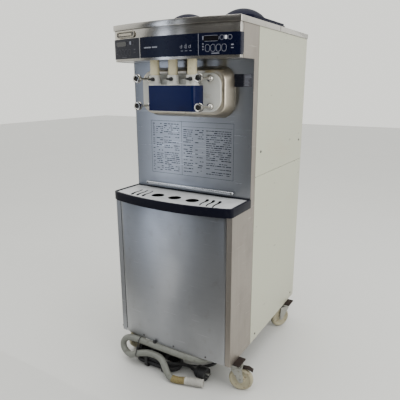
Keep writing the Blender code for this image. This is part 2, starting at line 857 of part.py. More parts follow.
def hopper(side):
    """Mix tub with a flange on the top cover and an outlet in its floor."""
    tag = "left" if side < 0 else "right"
    steel = LOOKS["steel"]
    rim = LID_TOP_Z + GAP + SKIN
    bottom = LID_TOP_Z - HOPPER_DEPTH
    tub = prism(f"hopper_{tag}", hopper_outline(side, HOPPER_WALL), bottom, rim, "Z", steel)
    flange = prism(
        f"hopper_flange_{tag}",
        hopper_outline(side, HOPPER_FLANGE),
        LID_TOP_Z + GAP,
        rim,
        "Z",
        None,
        holes=[hopper_outline(side, HOPPER_WALL / 2)],
        where=CUTTERS,
    )
    inside = prism(
        f"hopper_inside_{tag}",
        hopper_outline(side, 0.0),
        bottom + HOPPER_WALL,
        rim + FIT,
        "Z",
        None,
        where=CUTTERS,
    )
    outlet_at = (side * SPOUT_PITCH, HOPPER_Y - HOPPER_HALF[1] * 0.6, bottom - FIT)
    outlet = cylinder(
        f"hopper_outlet_{tag}",
        HOPPER_OUTLET_R,
        HOPPER_WALL + 2 * FIT,
        along("Z", outlet_at),
        None,
        where=CUTTERS,
    )
    fuse(tub, flange)
    return cut(tub, inside, outlet)


def dome_profile(radius, height, base, steps=CORNER_STEPS):
    """Low dome: a circular cap from its crown down to its rim, then in to the axis."""
    ball = (radius * radius + height * height) / (2 * height)
    reach = degrees(acos((ball - height) / ball))
    cap = [
        (ball * sin(radians(reach * i / steps)), base + height - ball + ball * cos(radians(reach * i / steps)))
        for i in range(steps + 1)
    ]
    cap[0] = (0.0, base + height)
    return cap


def hopper_lid(side):
    """Lift-off lid: a rimmed tray-shaped cover with a low dome."""
    tag = "left" if side < 0 else "right"
    x = side * HOPPER_X
    low = LID_TOP_Z + SKIN + 2 * GAP
    top = low + LID_SKIRT
    inner = (LID_HALF[0] - LID_WALL, LID_HALF[1] - LID_WALL)
    lid = prism(
        f"hopper_lid_{tag}",
        rounded((x, HOPPER_Y), LID_HALF, LID_CORNER),
        low,
        top,
        "Z",
        LOOKS["navy"],
        origin=(x, HOPPER_Y, low),
    )
    at = Matrix.Translation((x, HOPPER_Y, 0.0))
    outer_dome = dome_profile(DOME_R, DOME_RISE, top - FIT)
    dome = turned(f"lid_dome_{tag}", [*outer_dome, (0.0, top - FIT)], at, None, ROUND_STEPS, CUTTERS)
    hollow = prism(
        f"lid_hollow_{tag}",
        rounded((x, HOPPER_Y), inner, LID_CORNER - LID_WALL),
        low - FIT,
        top - LID_WALL,
        "Z",
        None,
        where=CUTTERS,
    )
    inner_base = top - LID_WALL - FIT
    inner_dome = dome_profile(DOME_R - LID_WALL, DOME_RISE - LID_WALL / 2, inner_base)
    space = turned(f"lid_space_{tag}", [*inner_dome, (0.0, inner_base)], at, None, ROUND_STEPS, CUTTERS)
    fuse(lid, dome)
    return cut(lid, hollow, space)


# ---- dispensing head -----------------------------------------------------------------------
def flared(name, half_front, half_back, corner, front_y, back_y, material, **where):
    """A block with round corners that grows from its front face to its back face."""
    block = prism(
        name, rounded((0.0, DOOR_Z), half_front, corner), front_y, back_y, "Y", material, **where
    )
    middle = (front_y + back_y) / 2
    for vertex in block.data.vertices:
        if vertex.co.y > middle:
            vertex.co.x *= half_back[0] / half_front[0]
            vertex.co.z = DOOR_Z + (vertex.co.z - DOOR_Z) * half_back[1] / half_front[1]
    return block


def shrink(half, by):
    return (half[0] - by, half[1] - by)


def door_collar():
    """Flared stainless surround between the splash panel and the door."""
    collar = flared(
        "door_collar",
        COLLAR_HALF_FRONT,
        COLLAR_HALF_BACK,
        COLLAR_CORNER,
        COLLAR_FRONT_Y,
        SPLASH_Y - GAP,
        LOOKS["warm_steel"],
    )
    hollow = flared(
        "collar_hollow",
        shrink(COLLAR_HALF_FRONT, 2 * SKIN),
        shrink(COLLAR_HALF_BACK, SKIN),
        COLLAR_CORNER - SKIN,
        COLLAR_FRONT_Y + SKIN,
        SPLASH_Y + FIT,
        None,
        where=CUTTERS,
    )
    window = prism(
        "collar_window",
        rounded((0.0, DOOR_Z), COLLAR_WINDOW, DOOR_CORNER),
        COLLAR_FRONT_Y - FIT,
        COLLAR_FRONT_Y + 2 * SKIN,
        "Y",
        None,
        where=CUTTERS,
    )
    return cut(collar, hollow, window)


def dispensing_door():
    """One moulding: the door plate, the spout block in front of it and a sleeve for each plunger."""
    door = prism(
        "dispensing_door",
        rounded((0.0, DOOR_Z), DOOR_HALF, DOOR_CORNER, 8),
        DOOR_FRONT_Y,
        DOOR_BACK_Y,
        "Y",
        LOOKS["white"],
    )
    block_top = DOOR_Z + BLOCK_RISE
    sleeve_top = DOOR_Z + SLEEVE_RISE
    shoulder = DOOR_Z + SHOULDER_RISE
    bottom = DOOR_Z - BLOCK_DROP
    into_plate = DOOR_FRONT_Y + DOOR_THICKNESS / 3
    sleeve_r = PLUNGER_R + PLUNGER_CLEARANCE + SLEEVE_WALL
    added = [
        prism(
            "spout_block",
            u_path(BLOCK_HALF, DOOR_FRONT_Y - BLOCK_FRONT, into_plate, COVER_CORNER - COVER_WALL),
            bottom,
            block_top,
            "Z",
            None,
            where=CUTTERS,
        ),
        box(
            "sleeve_web",
            (-SPOUT_PITCH, PLUNGER_Y + PLUNGER_R, block_top - FIT),
            (SPOUT_PITCH, into_plate, DOOR_Z + SLEEVE_RISE * 0.8),
            None,
            where=CUTTERS,
        ),
    ]
    cuts = []
    for i in (-1, 0, 1):
        at = (i * SPOUT_PITCH, PLUNGER_Y, block_top - 2 * FIT)
        added.append(
            cylinder(
                f"sleeve_{i + 1}",
                sleeve_r,
                sleeve_top - at[2],
                along("Z", at),
                None,
                where=CUTTERS,
            )
        )
        wide = PLUNGER_R + PLUNGER_CLEARANCE
        narrow = PLUNGER_TIP_R + PLUNGER_CLEARANCE
        bore = [
            (0.0, sleeve_top + FIT),
            (wide, sleeve_top + FIT),
            (wide, shoulder),
            (narrow, shoulder),
            (narrow, bottom + 0.012),
            (SPOUT_R, bottom + 0.008),
            (SPOUT_R, bottom - FIT),
            (0.0, bottom - FIT),
        ]
        cuts.append(
            turned(
                f"plunger_bore_{i + 1}",
                bore,
                Matrix.Translation((i * SPOUT_PITCH, PLUNGER_Y, 0.0)),
                None,
                SMALL_STEPS,
                CUTTERS,
            )
        )
    fuse(door, *added)
    return cut(door, *cuts)


def draw_plunger(index, tag):
    """Stepped plunger that closes its spout and is drawn up into the head."""
    shoulder = DOOR_Z + SHOULDER_RISE + GAP
    tip = DOOR_Z - BLOCK_DROP + 0.016
    top = HEAD_FLOOR_Z + PLUNGER_HEAD_RISE
    profile = [
        (0.0, top),
        (PLUNGER_R - 0.002, top),
        (PLUNGER_R, top - 0.002),
        (PLUNGER_R, shoulder),
        (PLUNGER_TIP_R, shoulder),
        (PLUNGER_TIP_R, tip + 0.004),
        (PLUNGER_TIP_R - 0.004, tip),
        (0.0, tip),
    ]
    middle = (shoulder + top) / 2
    local = [(r, h - middle) for r, h in profile]
    at = Matrix.Translation((index * SPOUT_PITCH, PLUNGER_Y, middle))
    return turned(f"draw_plunger_{tag}", local, at, LOOKS["cream"], SMALL_STEPS)


def spout_cover():
    """Blue U-shaped cover that slips over the spout block from the front."""
    half = BLOCK_HALF + COVER_CLEARANCE + COVER_WALL
    front = DOOR_FRONT_Y - BLOCK_FRONT - COVER_CLEARANCE - COVER_WALL
    back = DOOR_FRONT_Y - GAP
    return prism(
        "spout_cover",
        ribbon(u_path(half, front, back, COVER_CORNER), COVER_WALL),
        DOOR_Z - COVER_DROP,
        DOOR_Z + BLOCK_RISE - 2 * FIT - GAP,
        "Z",
        LOOKS["blue"],
        origin=(0.0, back, DOOR_Z),
    )


def door_knob(side, level):
    """Hand nut: a boss on the door, a long stem and a cupped knob."""
    tag = f"{'upper' if level > 0 else 'lower'}_{'left' if side < 0 else 'right'}"
    end = KNOB_LENGTH
    cup = KNOB_R * 0.55
    profile = [
        (0.0, end - 0.006),
        (cup, end - 0.006),
        (cup + 0.001, end),
        (KNOB_R - 0.002, end),
        (KNOB_R, end - 0.003),
        (KNOB_R, end - 0.016),
        (KNOB_R * 0.6, end - 0.022),
        (KNOB_STEM_R, end - 0.026),
        (KNOB_STEM_R, 0.016),
        (KNOB_BOSS_R * 0.7, 0.014),
        (KNOB_BOSS_R, 0.010),
        (KNOB_BOSS_R, 0.0),
        (0.0, 0.0),
    ]
    at = (side * KNOB_X, DOOR_FRONT_Y - GAP, DOOR_Z + level * KNOB_RISE)
    return turned(f"door_knob_{tag}", profile, along("-Y", at), LOOKS["chrome"], SMALL_STEPS)


# ---- tray ----------------------------------------------------------------------------------
def tray_outline(inset):
    half = HALF + 2 * SKIN - inset
    front = bowed(half, TRAY_Y + inset, TRAY_BOW)
    corner = TRAY_CORNER - inset if TRAY_CORNER > inset else SKIN
    return [*front_corner(front, corner), (half, SPLASH_Y - FIT - inset), (-half, SPLASH_Y - FIT - inset)]


def drip_tray():
    """Dark tray on top of the lower cabinet, with a ledge for the drip plate and a drain hole."""
    tray = prism("drip_tray", tray_outline(0.0), TRAY_BOTTOM_Z, TRAY_TOP_Z, "Z", LOOKS["navy"])
    ledge = TRAY_TOP_Z - PLATE_DROP - PLATE_THICKNESS - GAP
    seat = prism(
        "tray_seat", tray_outline(TRAY_WALL), ledge, TRAY_TOP_Z + FIT, "Z", None, where=CUTTERS
    )
    basin = prism(
        "tray_basin",
        tray_outline(TRAY_WALL + TRAY_LEDGE),
        TRAY_BOTTOM_Z + TRAY_FLOOR,
        ledge + FIT,
        "Z",
        None,
        where=CUTTERS,
    )
    drain = cylinder(
        "tray_drain",
        0.009,
        TRAY_FLOOR + 2 * FIT,
        along("Z", (DRAIN_X, DRAIN_Y - 0.030, TRAY_BOTTOM_Z - FIT)),
        None,
        where=CUTTERS,
    )
    return cut(tray, seat, basin, drain)


def curved_slot(x, thick_end):
    """Outline of one tapering S-shaped slot; thick_end is -1 at the front or 1 at the back."""
    steps = 6
    left, right = [], []
    for i in range(steps + 1):
        share = i / steps
        y = HOLES_Y + (share - 0.5) * SLOT_LENGTH
        middle = x + SLOT_SWING * sin((share - 0.5) * 2 * pi) * 0.5 + SLOT_SWING * (share - 0.5)
        thick = share if thick_end > 0 else 1 - share
        width = SLOT_WIDTHS[1] + (SLOT_WIDTHS[0] - SLOT_WIDTHS[1]) * sin(thick * pi / 2) ** 2
        width *= 0.45 if i in (0, steps) else 1.0
        left.append((middle - width / 2, y))
        right.append((middle + width / 2, y))
    return right + left[::-1]


def drip_plate():
    top = TRAY_TOP_Z - PLATE_DROP
    holes = [circle((i * CUP_HOLE_PITCH, HOLES_Y), CUP_HOLE_R) for i in (-1, 0, 1)]
    holes += [curved_slot(side * x, side) for side in (-1, 1) for x in SLOT_X]
    return prism(
        "drip_plate",
        tray_outline(TRAY_WALL + FIT),
        top - PLATE_THICKNESS,
        top,
        "Z",
        LOOKS["steel"],
        holes=holes,
    )


def splash_gutter():
    """Short trough that stands out of the splash panel just above the tray."""
    front = SPLASH_Y - GAP - GUTTER_DEPTH
    corner = GUTTER_DEPTH * 0.6
    low = TRAY_TOP_Z + GUTTER_LIFT
    outline = u_path(GUTTER_HALF, front, SPLASH_Y - GAP, corner)
    gutter = prism("splash_gutter", outline, low, low + GUTTER_HEIGHT, "Z", LOOKS["steel"])
    trough = box(
        "gutter_trough",
        (-GUTTER_HALF + corner, front + GUTTER_WALL, low + GUTTER_WALL),
        (GUTTER_HALF - corner, SPLASH_Y - GAP - GUTTER_WALL, low + GUTTER_HEIGHT + FIT),
        None,
        where=CUTTERS,
    )
    return cut(gutter, trough)


# ---- freezing, drive and cooling -----------------------------------------------------------
def freezing_cylinder(side):
    """Insulated barrel with its open end at the door and a shaft hole in its back wall."""
    tag = "left" if side < 0 else "right"
    front = COLLAR_FRONT_Y + 2 * SKIN
    length = BARREL_BACK_Y - front
    bore_end = length - BARREL_END
    seal = SHAFT_R + SHAFT_CLEARANCE
    profile = [
        (seal, length),
        (BARREL_R, length),
        (BARREL_R, 0.0),
        (BARREL_BORE_R, 0.0),
        (BARREL_BORE_R, bore_end),
        (seal, bore_end),
    ]
    at = (side * SPOUT_PITCH, front, DOOR_Z)
    return turned(
        f"freezing_cylinder_{tag}", profile, along("Y", at), LOOKS["steel"], closed=True
    )


def beater(side):
    """Shaft with discs that carry two scraper bars."""
    tag = "left" if side < 0 else "right"
    front = COLLAR_FRONT_Y + 2 * SKIN
    start = front + FIT
    sweep = BARREL_BORE_R - BEATER_SWEEP
    disc = sweep - 0.004
    inner_end = BARREL_BACK_Y - BARREL_END - 2 * FIT
    stations = [start + 0.006 + (inner_end - start - 0.020) * i / 2 for i in range(3)]
    profile = [(0.0, SHAFT_END_Y - front), (SHAFT_R, SHAFT_END_Y - front)]
    for y in reversed(stations):
        profile += [
            (SHAFT_R, y + 0.004 - front),
            (disc, y + 0.003 - front),
            (disc, y - 0.003 - front),
            (SHAFT_R, y - 0.004 - front),
        ]
    profile += [(SHAFT_R, start - front), (0.0, start - front)]
    at = (side * SPOUT_PITCH, front, DOOR_Z)
    shaft = turned(f"beater_{tag}", profile, along("Y", at), LOOKS["white"], SMALL_STEPS)
    bars = []
    for turn in (-1, 1):
        edges = sorted((turn * (sweep - 0.010), turn * sweep * 0.98))
        bars.append(
            box(
                f"scraper_{tag}_{turn + 1}",
                (at[0] - 0.004, stations[0] - 0.005, DOOR_Z + edges[0]),
                (at[0] + 0.004, stations[-1] + 0.005, DOOR_Z + edges[1]),
                None,
                where=CUTTERS,
            )
        )
    return fuse(shaft, *bars)


def pulley(name, radius, bore, at, material):
    """Flanged belt pulley centred on its axis."""
    half = PULLEY_WIDTH / 2
    lip = radius + 0.004
    profile = [
        (bore, half),
        (lip, half),
        (lip, half - 0.002),
        (radius, half - 0.003),
        (radius, -half + 0.003),
        (lip, -half + 0.002),
        (lip, -half),
        (bore, -half),
    ]
    return turned(name, profile, along("Y", at), material, closed=True)


def beater_motor():
    """Motor can with its output shaft towards the back."""
    shaft = SHAFT_END_Y - PULLEY_Y + PULLEY_WIDTH / 2
    start = PULLEY_Y - PULLEY_WIDTH / 2 - 0.006 - MOTOR_LENGTH
    length = MOTOR_LENGTH
    profile = [
        (0.0, length + shaft),
        (MOTOR_SHAFT_R, length + shaft),
        (MOTOR_SHAFT_R, length),
        (MOTOR_R * 0.85, length),
        (MOTOR_R, length - 0.012),
        (MOTOR_R, 0.012),
        (MOTOR_R * 0.85, 0.0),
        (0.0, 0.0),
    ]
    at = (0.0, start, MOTOR_Z)
    return turned("beater_motor", profile, along("Y", at), LOOKS["dark_metal"])


def hull(points):
    """Convex outline round a set of points, anticlockwise."""
    ordered = sorted(set(points))

    def half_hull(sequence):
        line = []
        for p in sequence:
            while len(line) > 1:
                (ax, ay), (bx, by) = line[-2], line[-1]
                if (bx - ax) * (p[1] - ay) - (by - ay) * (p[0] - ax) > 0:
                    break
                line.pop()
            line.append(p)
        return line[:-1]

    return half_hull(ordered) + half_hull(ordered[::-1])


def belt_outline(grow):
    """Belt line round the three pulleys, moved out by grow."""
    points = []
    for x, z, radius in (
        (-SPOUT_PITCH, DOOR_Z, PULLEY_R),
        (SPOUT_PITCH, DOOR_Z, PULLEY_R),
        (0.0, MOTOR_Z, MOTOR_PULLEY_R),
    ):
        points += circle((x, z), radius + grow, 24)
    return hull(points)


def drive_belt():
    half = PULLEY_WIDTH / 2 - 0.0045
    return prism(
        "drive_belt",
        belt_outline(BELT_CLEARANCE + BELT_THICKNESS),
        PULLEY_Y - half,
        PULLEY_Y + half,
        "Y",
        LOOKS["rubber"],
        holes=[belt_outline(BELT_CLEARANCE)],
    )


def floor_z():
    """Top of the base pan inside the cabinet."""
    return GROUND_CLEARANCE + PAN_LIFT + PAN_THICKNESS


def compressor():
    r, h = COMPRESSOR_R, COMPRESSOR_HEIGHT
    profile = [(r * sin(radians(a)), h - r * 0.5 * (1 - cos(radians(a)))) for a in range(0, 91, 30)]
    profile[0] = (0.0, h)
    profile += [(r, 0.030), (r * 1.15, 0.026), (r * 1.15, 0.0), (0.0, 0.0)]
    at = Matrix.Translation((*COMPRESSOR_AT, floor_z() + GAP))
    return turned("compressor", profile, at, LOOKS["dark_metal"])


def condenser():
    x, y = CONDENSER_AT
    w, d, h = CONDENSER_SIZE
    base = floor_z() + GAP
    return box(
        "condenser", (x - w / 2, y - d / 2, base), (x + w / 2, y + d / 2, base + h), LOOKS["steel"]
    )


def condenser_fan():
    """Five twisted blades on a hub, behind the condenser."""
    x = CONDENSER_AT[0]
    y = CONDENSER_AT[1] + CONDENSER_SIZE[1] / 2 + FAN_SPACE
    z = floor_z() + CONDENSER_SIZE[2] / 2
    depth = 0.026
    profile = [
        (0.0, depth),
        (FAN_HUB_R * 0.7, depth),
        (FAN_HUB_R, depth * 0.7),
        (FAN_HUB_R, 0.0),
        (0.0, 0.0),
    ]
    hub = turned("condenser_fan", profile, along("Y", (x, y, z)), LOOKS["rubber"], SMALL_STEPS)
    blades = []
    for i in range(5):
        spin = Matrix.Rotation(radians(72 * i), 4, "Y")
        pitch = Matrix.Rotation(radians(28), 4, "Z")
        root = FAN_HUB_R * 0.8
        blade = box(
            f"fan_blade_{i}",
            (-0.022, -0.001, root),
            (0.022, 0.001, FAN_R),
            None,
            where=CUTTERS,
        )
        blade.data.transform(Matrix.Translation((x, y + depth / 2, z)) @ spin @ pitch)
        blades.append(blade)
    return fuse(hub, *blades)


def control_box():
    """Electronics behind the right-hand key panel."""
    w, d, h = CONTROL_BOX_SIZE
    right = HALF - SKIN - 0.012
    back = SPLASH_Y - FIT
    base = HEAD_FLOOR_Z + 2 * SKIN + GAP
    return box("control_box", (right - w, back - d, base), (right, back, base + h), LOOKS["zinc"])


# ---- casters -------------------------------------------------------------------------------
def caster_matrix(name):
    side, row, heading = CASTERS[name]
    return Matrix.Translation((side * CASTER_X, row, 0.0)) @ Matrix.Rotation(radians(heading), 4, "Z")


def caster(name):
    """Fork and wheel of one swivel caster; local X is the trailing direction."""
    place_at = caster_matrix(name)
    side_gap = WHEEL_WIDTH / 2 + FORK_SIDE_CLEARANCE
    crown_low = 2 * WHEEL_R + CROWN_CLEARANCE
    crown_top = crown_low + CROWN_THICKNESS
    top = GROUND_CLEARANCE - GAP - CASTER_PLATE[2] - GAP
    raceway = [
        (0.0, top),
        (RACEWAY_R * 0.9, top),
        (RACEWAY_R, top - 0.004),
        (RACEWAY_R, crown_top + 0.003),
        (RACEWAY_R * 0.75, crown_top + 0.001),
        (RACEWAY_R * 0.75, crown_top - 0.002),
        (0.0, crown_top - 0.002),
    ]
    fork = turned(f"caster_fork_{name}", raceway, place_at, LOOKS["zinc"], SMALL_STEPS)
    width = side_gap + FORK_WALL
    front, back = -0.014, CASTER_TRAIL + 0.006
    crown = box(
        f"crown_{name}",
        (front - LAP, -width - LAP, crown_low),
        (back + LAP, width + LAP, crown_top),
        None,
        where=CUTTERS,
    )
    crown.data.transform(place_at)
    boss = 0.011
    leg = [
        (front, crown_top - FIT),
        (front, crown_low - 0.004),
        *arc((CASTER_TRAIL, WHEEL_R), boss, 200, 360, CORNER_STEPS),
        (back, crown_low - 0.012),
        (back, crown_top - FIT),
    ]
    pieces = [crown]
    for turn in (-1, 1):
        ends = sorted((turn * side_gap, turn * width))
        pieces.append(
            prism(
                f"leg_{name}_{turn + 1}",
                leg,
                *ends,
                "Y",
                None,
                matrix=place_at,
                where=CUTTERS,
            )
        )
    axle_at = Matrix.Translation((CASTER_TRAIL, -width - 0.002, WHEEL_R))
    pieces.append(
        cylinder(
            f"axle_{name}",
            AXLE_R,
            2 * width + 0.004,
            place_at @ axle_at @ along("Y"),
            None,
            where=CUTTERS,
        )
    )
    fuse(fork, *pieces)

    half = WHEEL_WIDTH / 2
    bore = AXLE_R + BORE_CLEARANCE
    tread = [
        (bore, half),
        (WHEEL_HUB_R, half),
        (WHEEL_HUB_R + 0.003, half - 0.003),
        (WHEEL_R - 0.012, half - 0.003),
        (WHEEL_R - 0.010, half),
        (WHEEL_R, half - 0.006),
    ]
    profile = tread + [(r, -h) for r, h in tread[::-1]]
    wheel_at = place_at @ Matrix.Translation((CASTER_TRAIL, 0.0, WHEEL_R)) @ along("Y")
    turned(f"caster_wheel_{name}", profile, wheel_at, LOOKS["wheel"], closed=True)
    return fork


def brake_pedal(name):
    """Foot pedal over the trailing side of one front wheel."""
    high = 2 * WHEEL_R + CROWN_CLEARANCE
    near = CASTER_TRAIL + 0.006 + FIT
    outline = [
        (near, high),
        (near + 0.022, high),
        (near + 0.041, high - 0.0105),
        (near + 0.043, high - 0.0065),
        (near + 0.024, high + 0.004),
        (near, high + 0.004),
    ]
    pivot = caster_matrix(name) @ Vector((near, 0.0, high + 0.002))
    return prism(
        f"brake_pedal_{name.replace('front_', '')}",
        outline,
        -PEDAL_WIDTH / 2,
        PEDAL_WIDTH / 2,
        "Y",
        LOOKS["zinc"],
        matrix=caster_matrix(name),
        origin=tuple(pivot),
    )


# ---- hose and mains cable ------------------------------------------------------------------
def span(start, end):
    """Matrix whose local Z runs from start to end, and the distance."""
    start, end = Vector(start), Vector(end)
    turn = (end - start).to_track_quat("Z", "Y").to_matrix().to_4x4()
    return Matrix.Translation(start) @ turn, (end - start).length


def drain_hose():
    hose = meshed(tube("drain_hose", HOSE_ROUTE, HOSE_D, LOOKS["grey"], HOSE_D))
    start = Vector(HOSE_ROUTE[-1]).lerp(Vector(CUFF_END), -0.04)
    matrix, length = span(start, CUFF_END)
    cuff = cylinder("hose_cuff", CUFF_R, length, matrix, None, steps=20, where=CUTTERS)
    return fuse(hose, cuff)


def power_cord():
    tube("power_cord", CORD_ROUTE, CORD_D, LOOKS["rubber"], 2 * CORD_D)


def power_cord_tail():
    tube("power_cord_tail", CORD_TAIL_ROUTE, CORD_D, LOOKS["rubber"], 0.7 * CORD_D)


def power_cord_hank():
    """Outer shape of the folded cable: runs side by side with round ends, in layers."""
    x, y = HANK_CENTRE
    radius = HANK_FOLD_R + CORD_D / 2
    half = HANK_RUN / 2
    outline = arc((x + half, y), radius, -90, 90, 12) + arc((x - half, y), radius, 90, 270, 12)
    height = HANK_LAYERS * CORD_D
    return prism("power_cord_hank", outline, 0.0006, height, "Z", LOOKS["rubber"])


def power_plug():
    matrix, length = span(PLUG_FROM, PLUG_TO)
    r = PLUG_R
    profile = [
        (0.0, length),
        (r * 0.94, length),
        (r, length - 0.004),
        (r, length * 0.45),
        (r * 0.72, length * 0.30),
        (0.011, length * 0.05),
        (0.009, 0.0),
        (0.0, 0.0),
    ]
    return turned("power_plug", profile, matrix, LOOKS["rubber"], SMALL_STEPS)


# ---- build ---------------------------------------------------------------------------------
def build():
    base_pan()
    chassis_frame()
    rear_panel()
    splash_panel()
    lower_front_panel()
    head_fascia()
    control_band()
    head_floor()
    top_cover()
    door_collar()
    dispensing_door()
    spout_cover()
    drip_tray()
    drip_plate()
    splash_gutter()
    for side in (-1, 1):
        side_trim(side)
        side_panel(side, "lower")
        side_panel(side, "upper")
        hopper(side)
        hopper_lid(side)
        freezing_cylinder(side)
        beater(side)
        door_knob(side, 1)
        door_knob(side, -1)
    for index, tag in ((-1, "left"), (0, "centre"), (1, "right")):
        draw_plunger(index, tag)
    bore = SHAFT_R + GAP
    for side, tag in ((-1, "left"), (1, "right")):
        at = (side * SPOUT_PITCH, PULLEY_Y, DOOR_Z)
        pulley(f"beater_pulley_{tag}", PULLEY_R, bore, at, LOOKS["zinc"])
    pulley(
        "motor_pulley", MOTOR_PULLEY_R, MOTOR_SHAFT_R + GAP, (0.0, PULLEY_Y, MOTOR_Z), LOOKS["zinc"]
    )
    beater_motor()
    drive_belt()
    compressor()
    condenser()
    condenser_fan()
    control_box()
    for name in CASTERS:
        caster(name)
    brake_pedal("front_left")
    brake_pedal("front_right")
    drain_hose()
    power_cord()
    power_cord_tail()
    power_cord_hank()
    power_plug()


clear_scene()
PARTS = collection("soft_serve_machine")
CUTTERS = collection("cutters")
MEMBERS = collection("frame_members")
LOOKS = make_looks()
build()
for member in MEMBERS.objects:
    member.hide_render = True
    member.display_type = "WIRE"
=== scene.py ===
"""A floor-standing twin soft serve machine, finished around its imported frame."""

import random
from math import acos, cos, degrees, pi, radians, sin

import bmesh
import bpy
from mathutils import Matrix, Vector


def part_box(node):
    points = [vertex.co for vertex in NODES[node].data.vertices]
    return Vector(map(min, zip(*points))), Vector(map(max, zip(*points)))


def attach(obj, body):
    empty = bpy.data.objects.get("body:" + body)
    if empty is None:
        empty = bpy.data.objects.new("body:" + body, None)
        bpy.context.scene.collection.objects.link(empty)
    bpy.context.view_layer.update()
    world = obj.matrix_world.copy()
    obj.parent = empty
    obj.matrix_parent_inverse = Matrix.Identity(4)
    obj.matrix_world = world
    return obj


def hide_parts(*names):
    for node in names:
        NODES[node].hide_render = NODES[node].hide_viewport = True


bl_info = {
    "name": "Soft Serve Machine",
    "version": (1, 0, 0),
    "blender": (4, 5, 0),
    "location": "3D View > Sidebar > Machine",
    "description": "Builds the visible pieces of a soft serve machine around its frame",
    "category": "Object",
}

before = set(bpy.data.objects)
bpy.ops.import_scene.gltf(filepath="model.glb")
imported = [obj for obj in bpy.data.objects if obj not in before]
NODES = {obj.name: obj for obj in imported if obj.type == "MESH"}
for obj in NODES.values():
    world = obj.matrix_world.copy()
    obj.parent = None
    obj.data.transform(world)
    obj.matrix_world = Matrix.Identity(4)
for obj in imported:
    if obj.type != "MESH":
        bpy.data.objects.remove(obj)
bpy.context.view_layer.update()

# ---- places, in metres, taken from the frame -------------------------------------------------
PANEL_LOW, PANEL_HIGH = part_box("lower_front_panel")
HEAD_LOW, HEAD_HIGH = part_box("head_fascia")
BAND_LOW, BAND_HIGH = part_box("control_band")
COVER_LOW, COVER_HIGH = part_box("top_cover")
TRAY_LOW, TRAY_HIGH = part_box("drip_tray")
PLATE_LOW, PLATE_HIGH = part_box("drip_plate")
DOOR_LOW, DOOR_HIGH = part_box("dispensing_door")
COLLAR_LOW, COLLAR_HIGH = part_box("door_collar")
SPLASH_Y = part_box("splash_panel")[0].y
DOOR_Z = (COLLAR_LOW.z + COLLAR_HIGH.z) / 2
DOOR_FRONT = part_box("door_knob_upper_left")[1].y
SPOUTS = {"left": -0.083, "centre": 0.0, "right": 0.083}
PLUNGER_Y = sum(corner.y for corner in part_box("draw_plunger_centre")) / 2
HOPPER_X, HOPPER_Y = 0.129, 0.014

CASTERS = {
    "front_left": (-0.268, -0.282, 78.0),
    "front_right": (0.268, -0.282, 16.0),
    "rear_left": (-0.268, 0.292, 170.0),
    "rear_right": (0.268, 0.292, 236.0),
}
TRAIL, WHEEL_R, WHEEL_HALF = 0.028, 0.050, 0.0125

HOSE_D = 0.028
HOSE_ROUTE = [
    (0.1770, -0.2285, 0.1140), (0.1770, -0.2500, 0.1140), (0.1700, -0.2880, 0.1148),
    (0.1430, -0.3260, 0.1158), (0.1000, -0.3440, 0.1162), (0.0400, -0.3500, 0.1165),
    (-0.0500, -0.3510, 0.1165), (-0.1400, -0.3510, 0.1165), (-0.2050, -0.3515, 0.1150),
    (-0.2440, -0.3530, 0.1040), (-0.2620, -0.3560, 0.0790), (-0.2560, -0.3610, 0.0550),
    (-0.2340, -0.3660, 0.0410), (-0.2060, -0.3740, 0.0430), (-0.1780, -0.3770, 0.0570),
    (-0.1480, -0.3740, 0.0705), (-0.1150, -0.3640, 0.0755), (-0.0700, -0.3610, 0.0760),
    (-0.0400, -0.3670, 0.0720), (-0.0150, -0.3800, 0.0570), (0.0000, -0.3860, 0.0380),
    (0.0180, -0.3880, 0.0210), (0.0420, -0.3840, 0.0152), (0.0680, -0.3760, 0.0160),
    (0.0860, -0.3700, 0.0180),
]
CUFF_END = (0.1570, -0.3480, 0.0180)
CORD_D = 0.0135
CORD_ROUTE = [
    (0.1450, -0.1100, 0.1155), (0.1450, -0.1100, 0.0980), (0.1445, -0.1180, 0.0700),
    (0.1425, -0.1360, 0.0450), (0.1380, -0.1600, 0.0240), (0.1300, -0.1900, 0.0110),
    (0.1150, -0.2180, 0.0080), (0.0920, -0.2430, 0.0078), (0.0620, -0.2590, 0.0078),
    (0.0350, -0.2680, 0.0078), (0.0110, -0.2700, 0.0078),
]
HANK_CENTRE = (-0.0925, -0.3120)
HANK_RUN, HANK_FOLD_R, HANK_TURNS = 0.140, 0.0405, 3
HANK_LEAVES = 45.0
CORD_TAIL_ROUTE = [
    (0.0325, -0.3152, 0.0440), (0.0395, -0.3078, 0.0392), (0.0475, -0.3012, 0.0335),
    (0.0575, -0.2967, 0.0300), (0.0691, -0.2979, 0.0300),
]
PLUG_FROM = (0.0700, -0.2980, 0.0300)
PLUG_TO = (0.1500, -0.3060, 0.0300)
PLUG_R = 0.0285


# ---- sizes and colours a user would change ---------------------------------------------------
class MachineLooks(bpy.types.PropertyGroup):
    """Colours of the machine's main finishes."""

    steel: bpy.props.FloatVectorProperty(
        name="Steel", description="Brushed stainless steel of the front panels",
        subtype="COLOR", size=3, default=(0.38, 0.39, 0.41),
    )
    warm_steel: bpy.props.FloatVectorProperty(
        name="Warm steel", description="Brushed stainless steel of the side trims and the door collar",
        subtype="COLOR", size=3, default=(0.33, 0.30, 0.27),
    )
    enamel: bpy.props.FloatVectorProperty(
        name="Enamel", description="Painted side panels",
        subtype="COLOR", size=3, default=(0.455, 0.465, 0.365),
    )
    navy: bpy.props.FloatVectorProperty(
        name="Navy", description="Control film, tray and lids",
        subtype="COLOR", size=3, default=(0.0016, 0.0032, 0.017),
    )
    blue: bpy.props.FloatVectorProperty(
        name="Blue", description="Cover over the spout block",
        subtype="COLOR", size=3, default=(0.0007, 0.0050, 0.052),
    )
    cream: bpy.props.FloatVectorProperty(
        name="Cream", description="Draw plungers and caster wheels",
        subtype="COLOR", size=3, default=(0.62, 0.56, 0.38),
    )


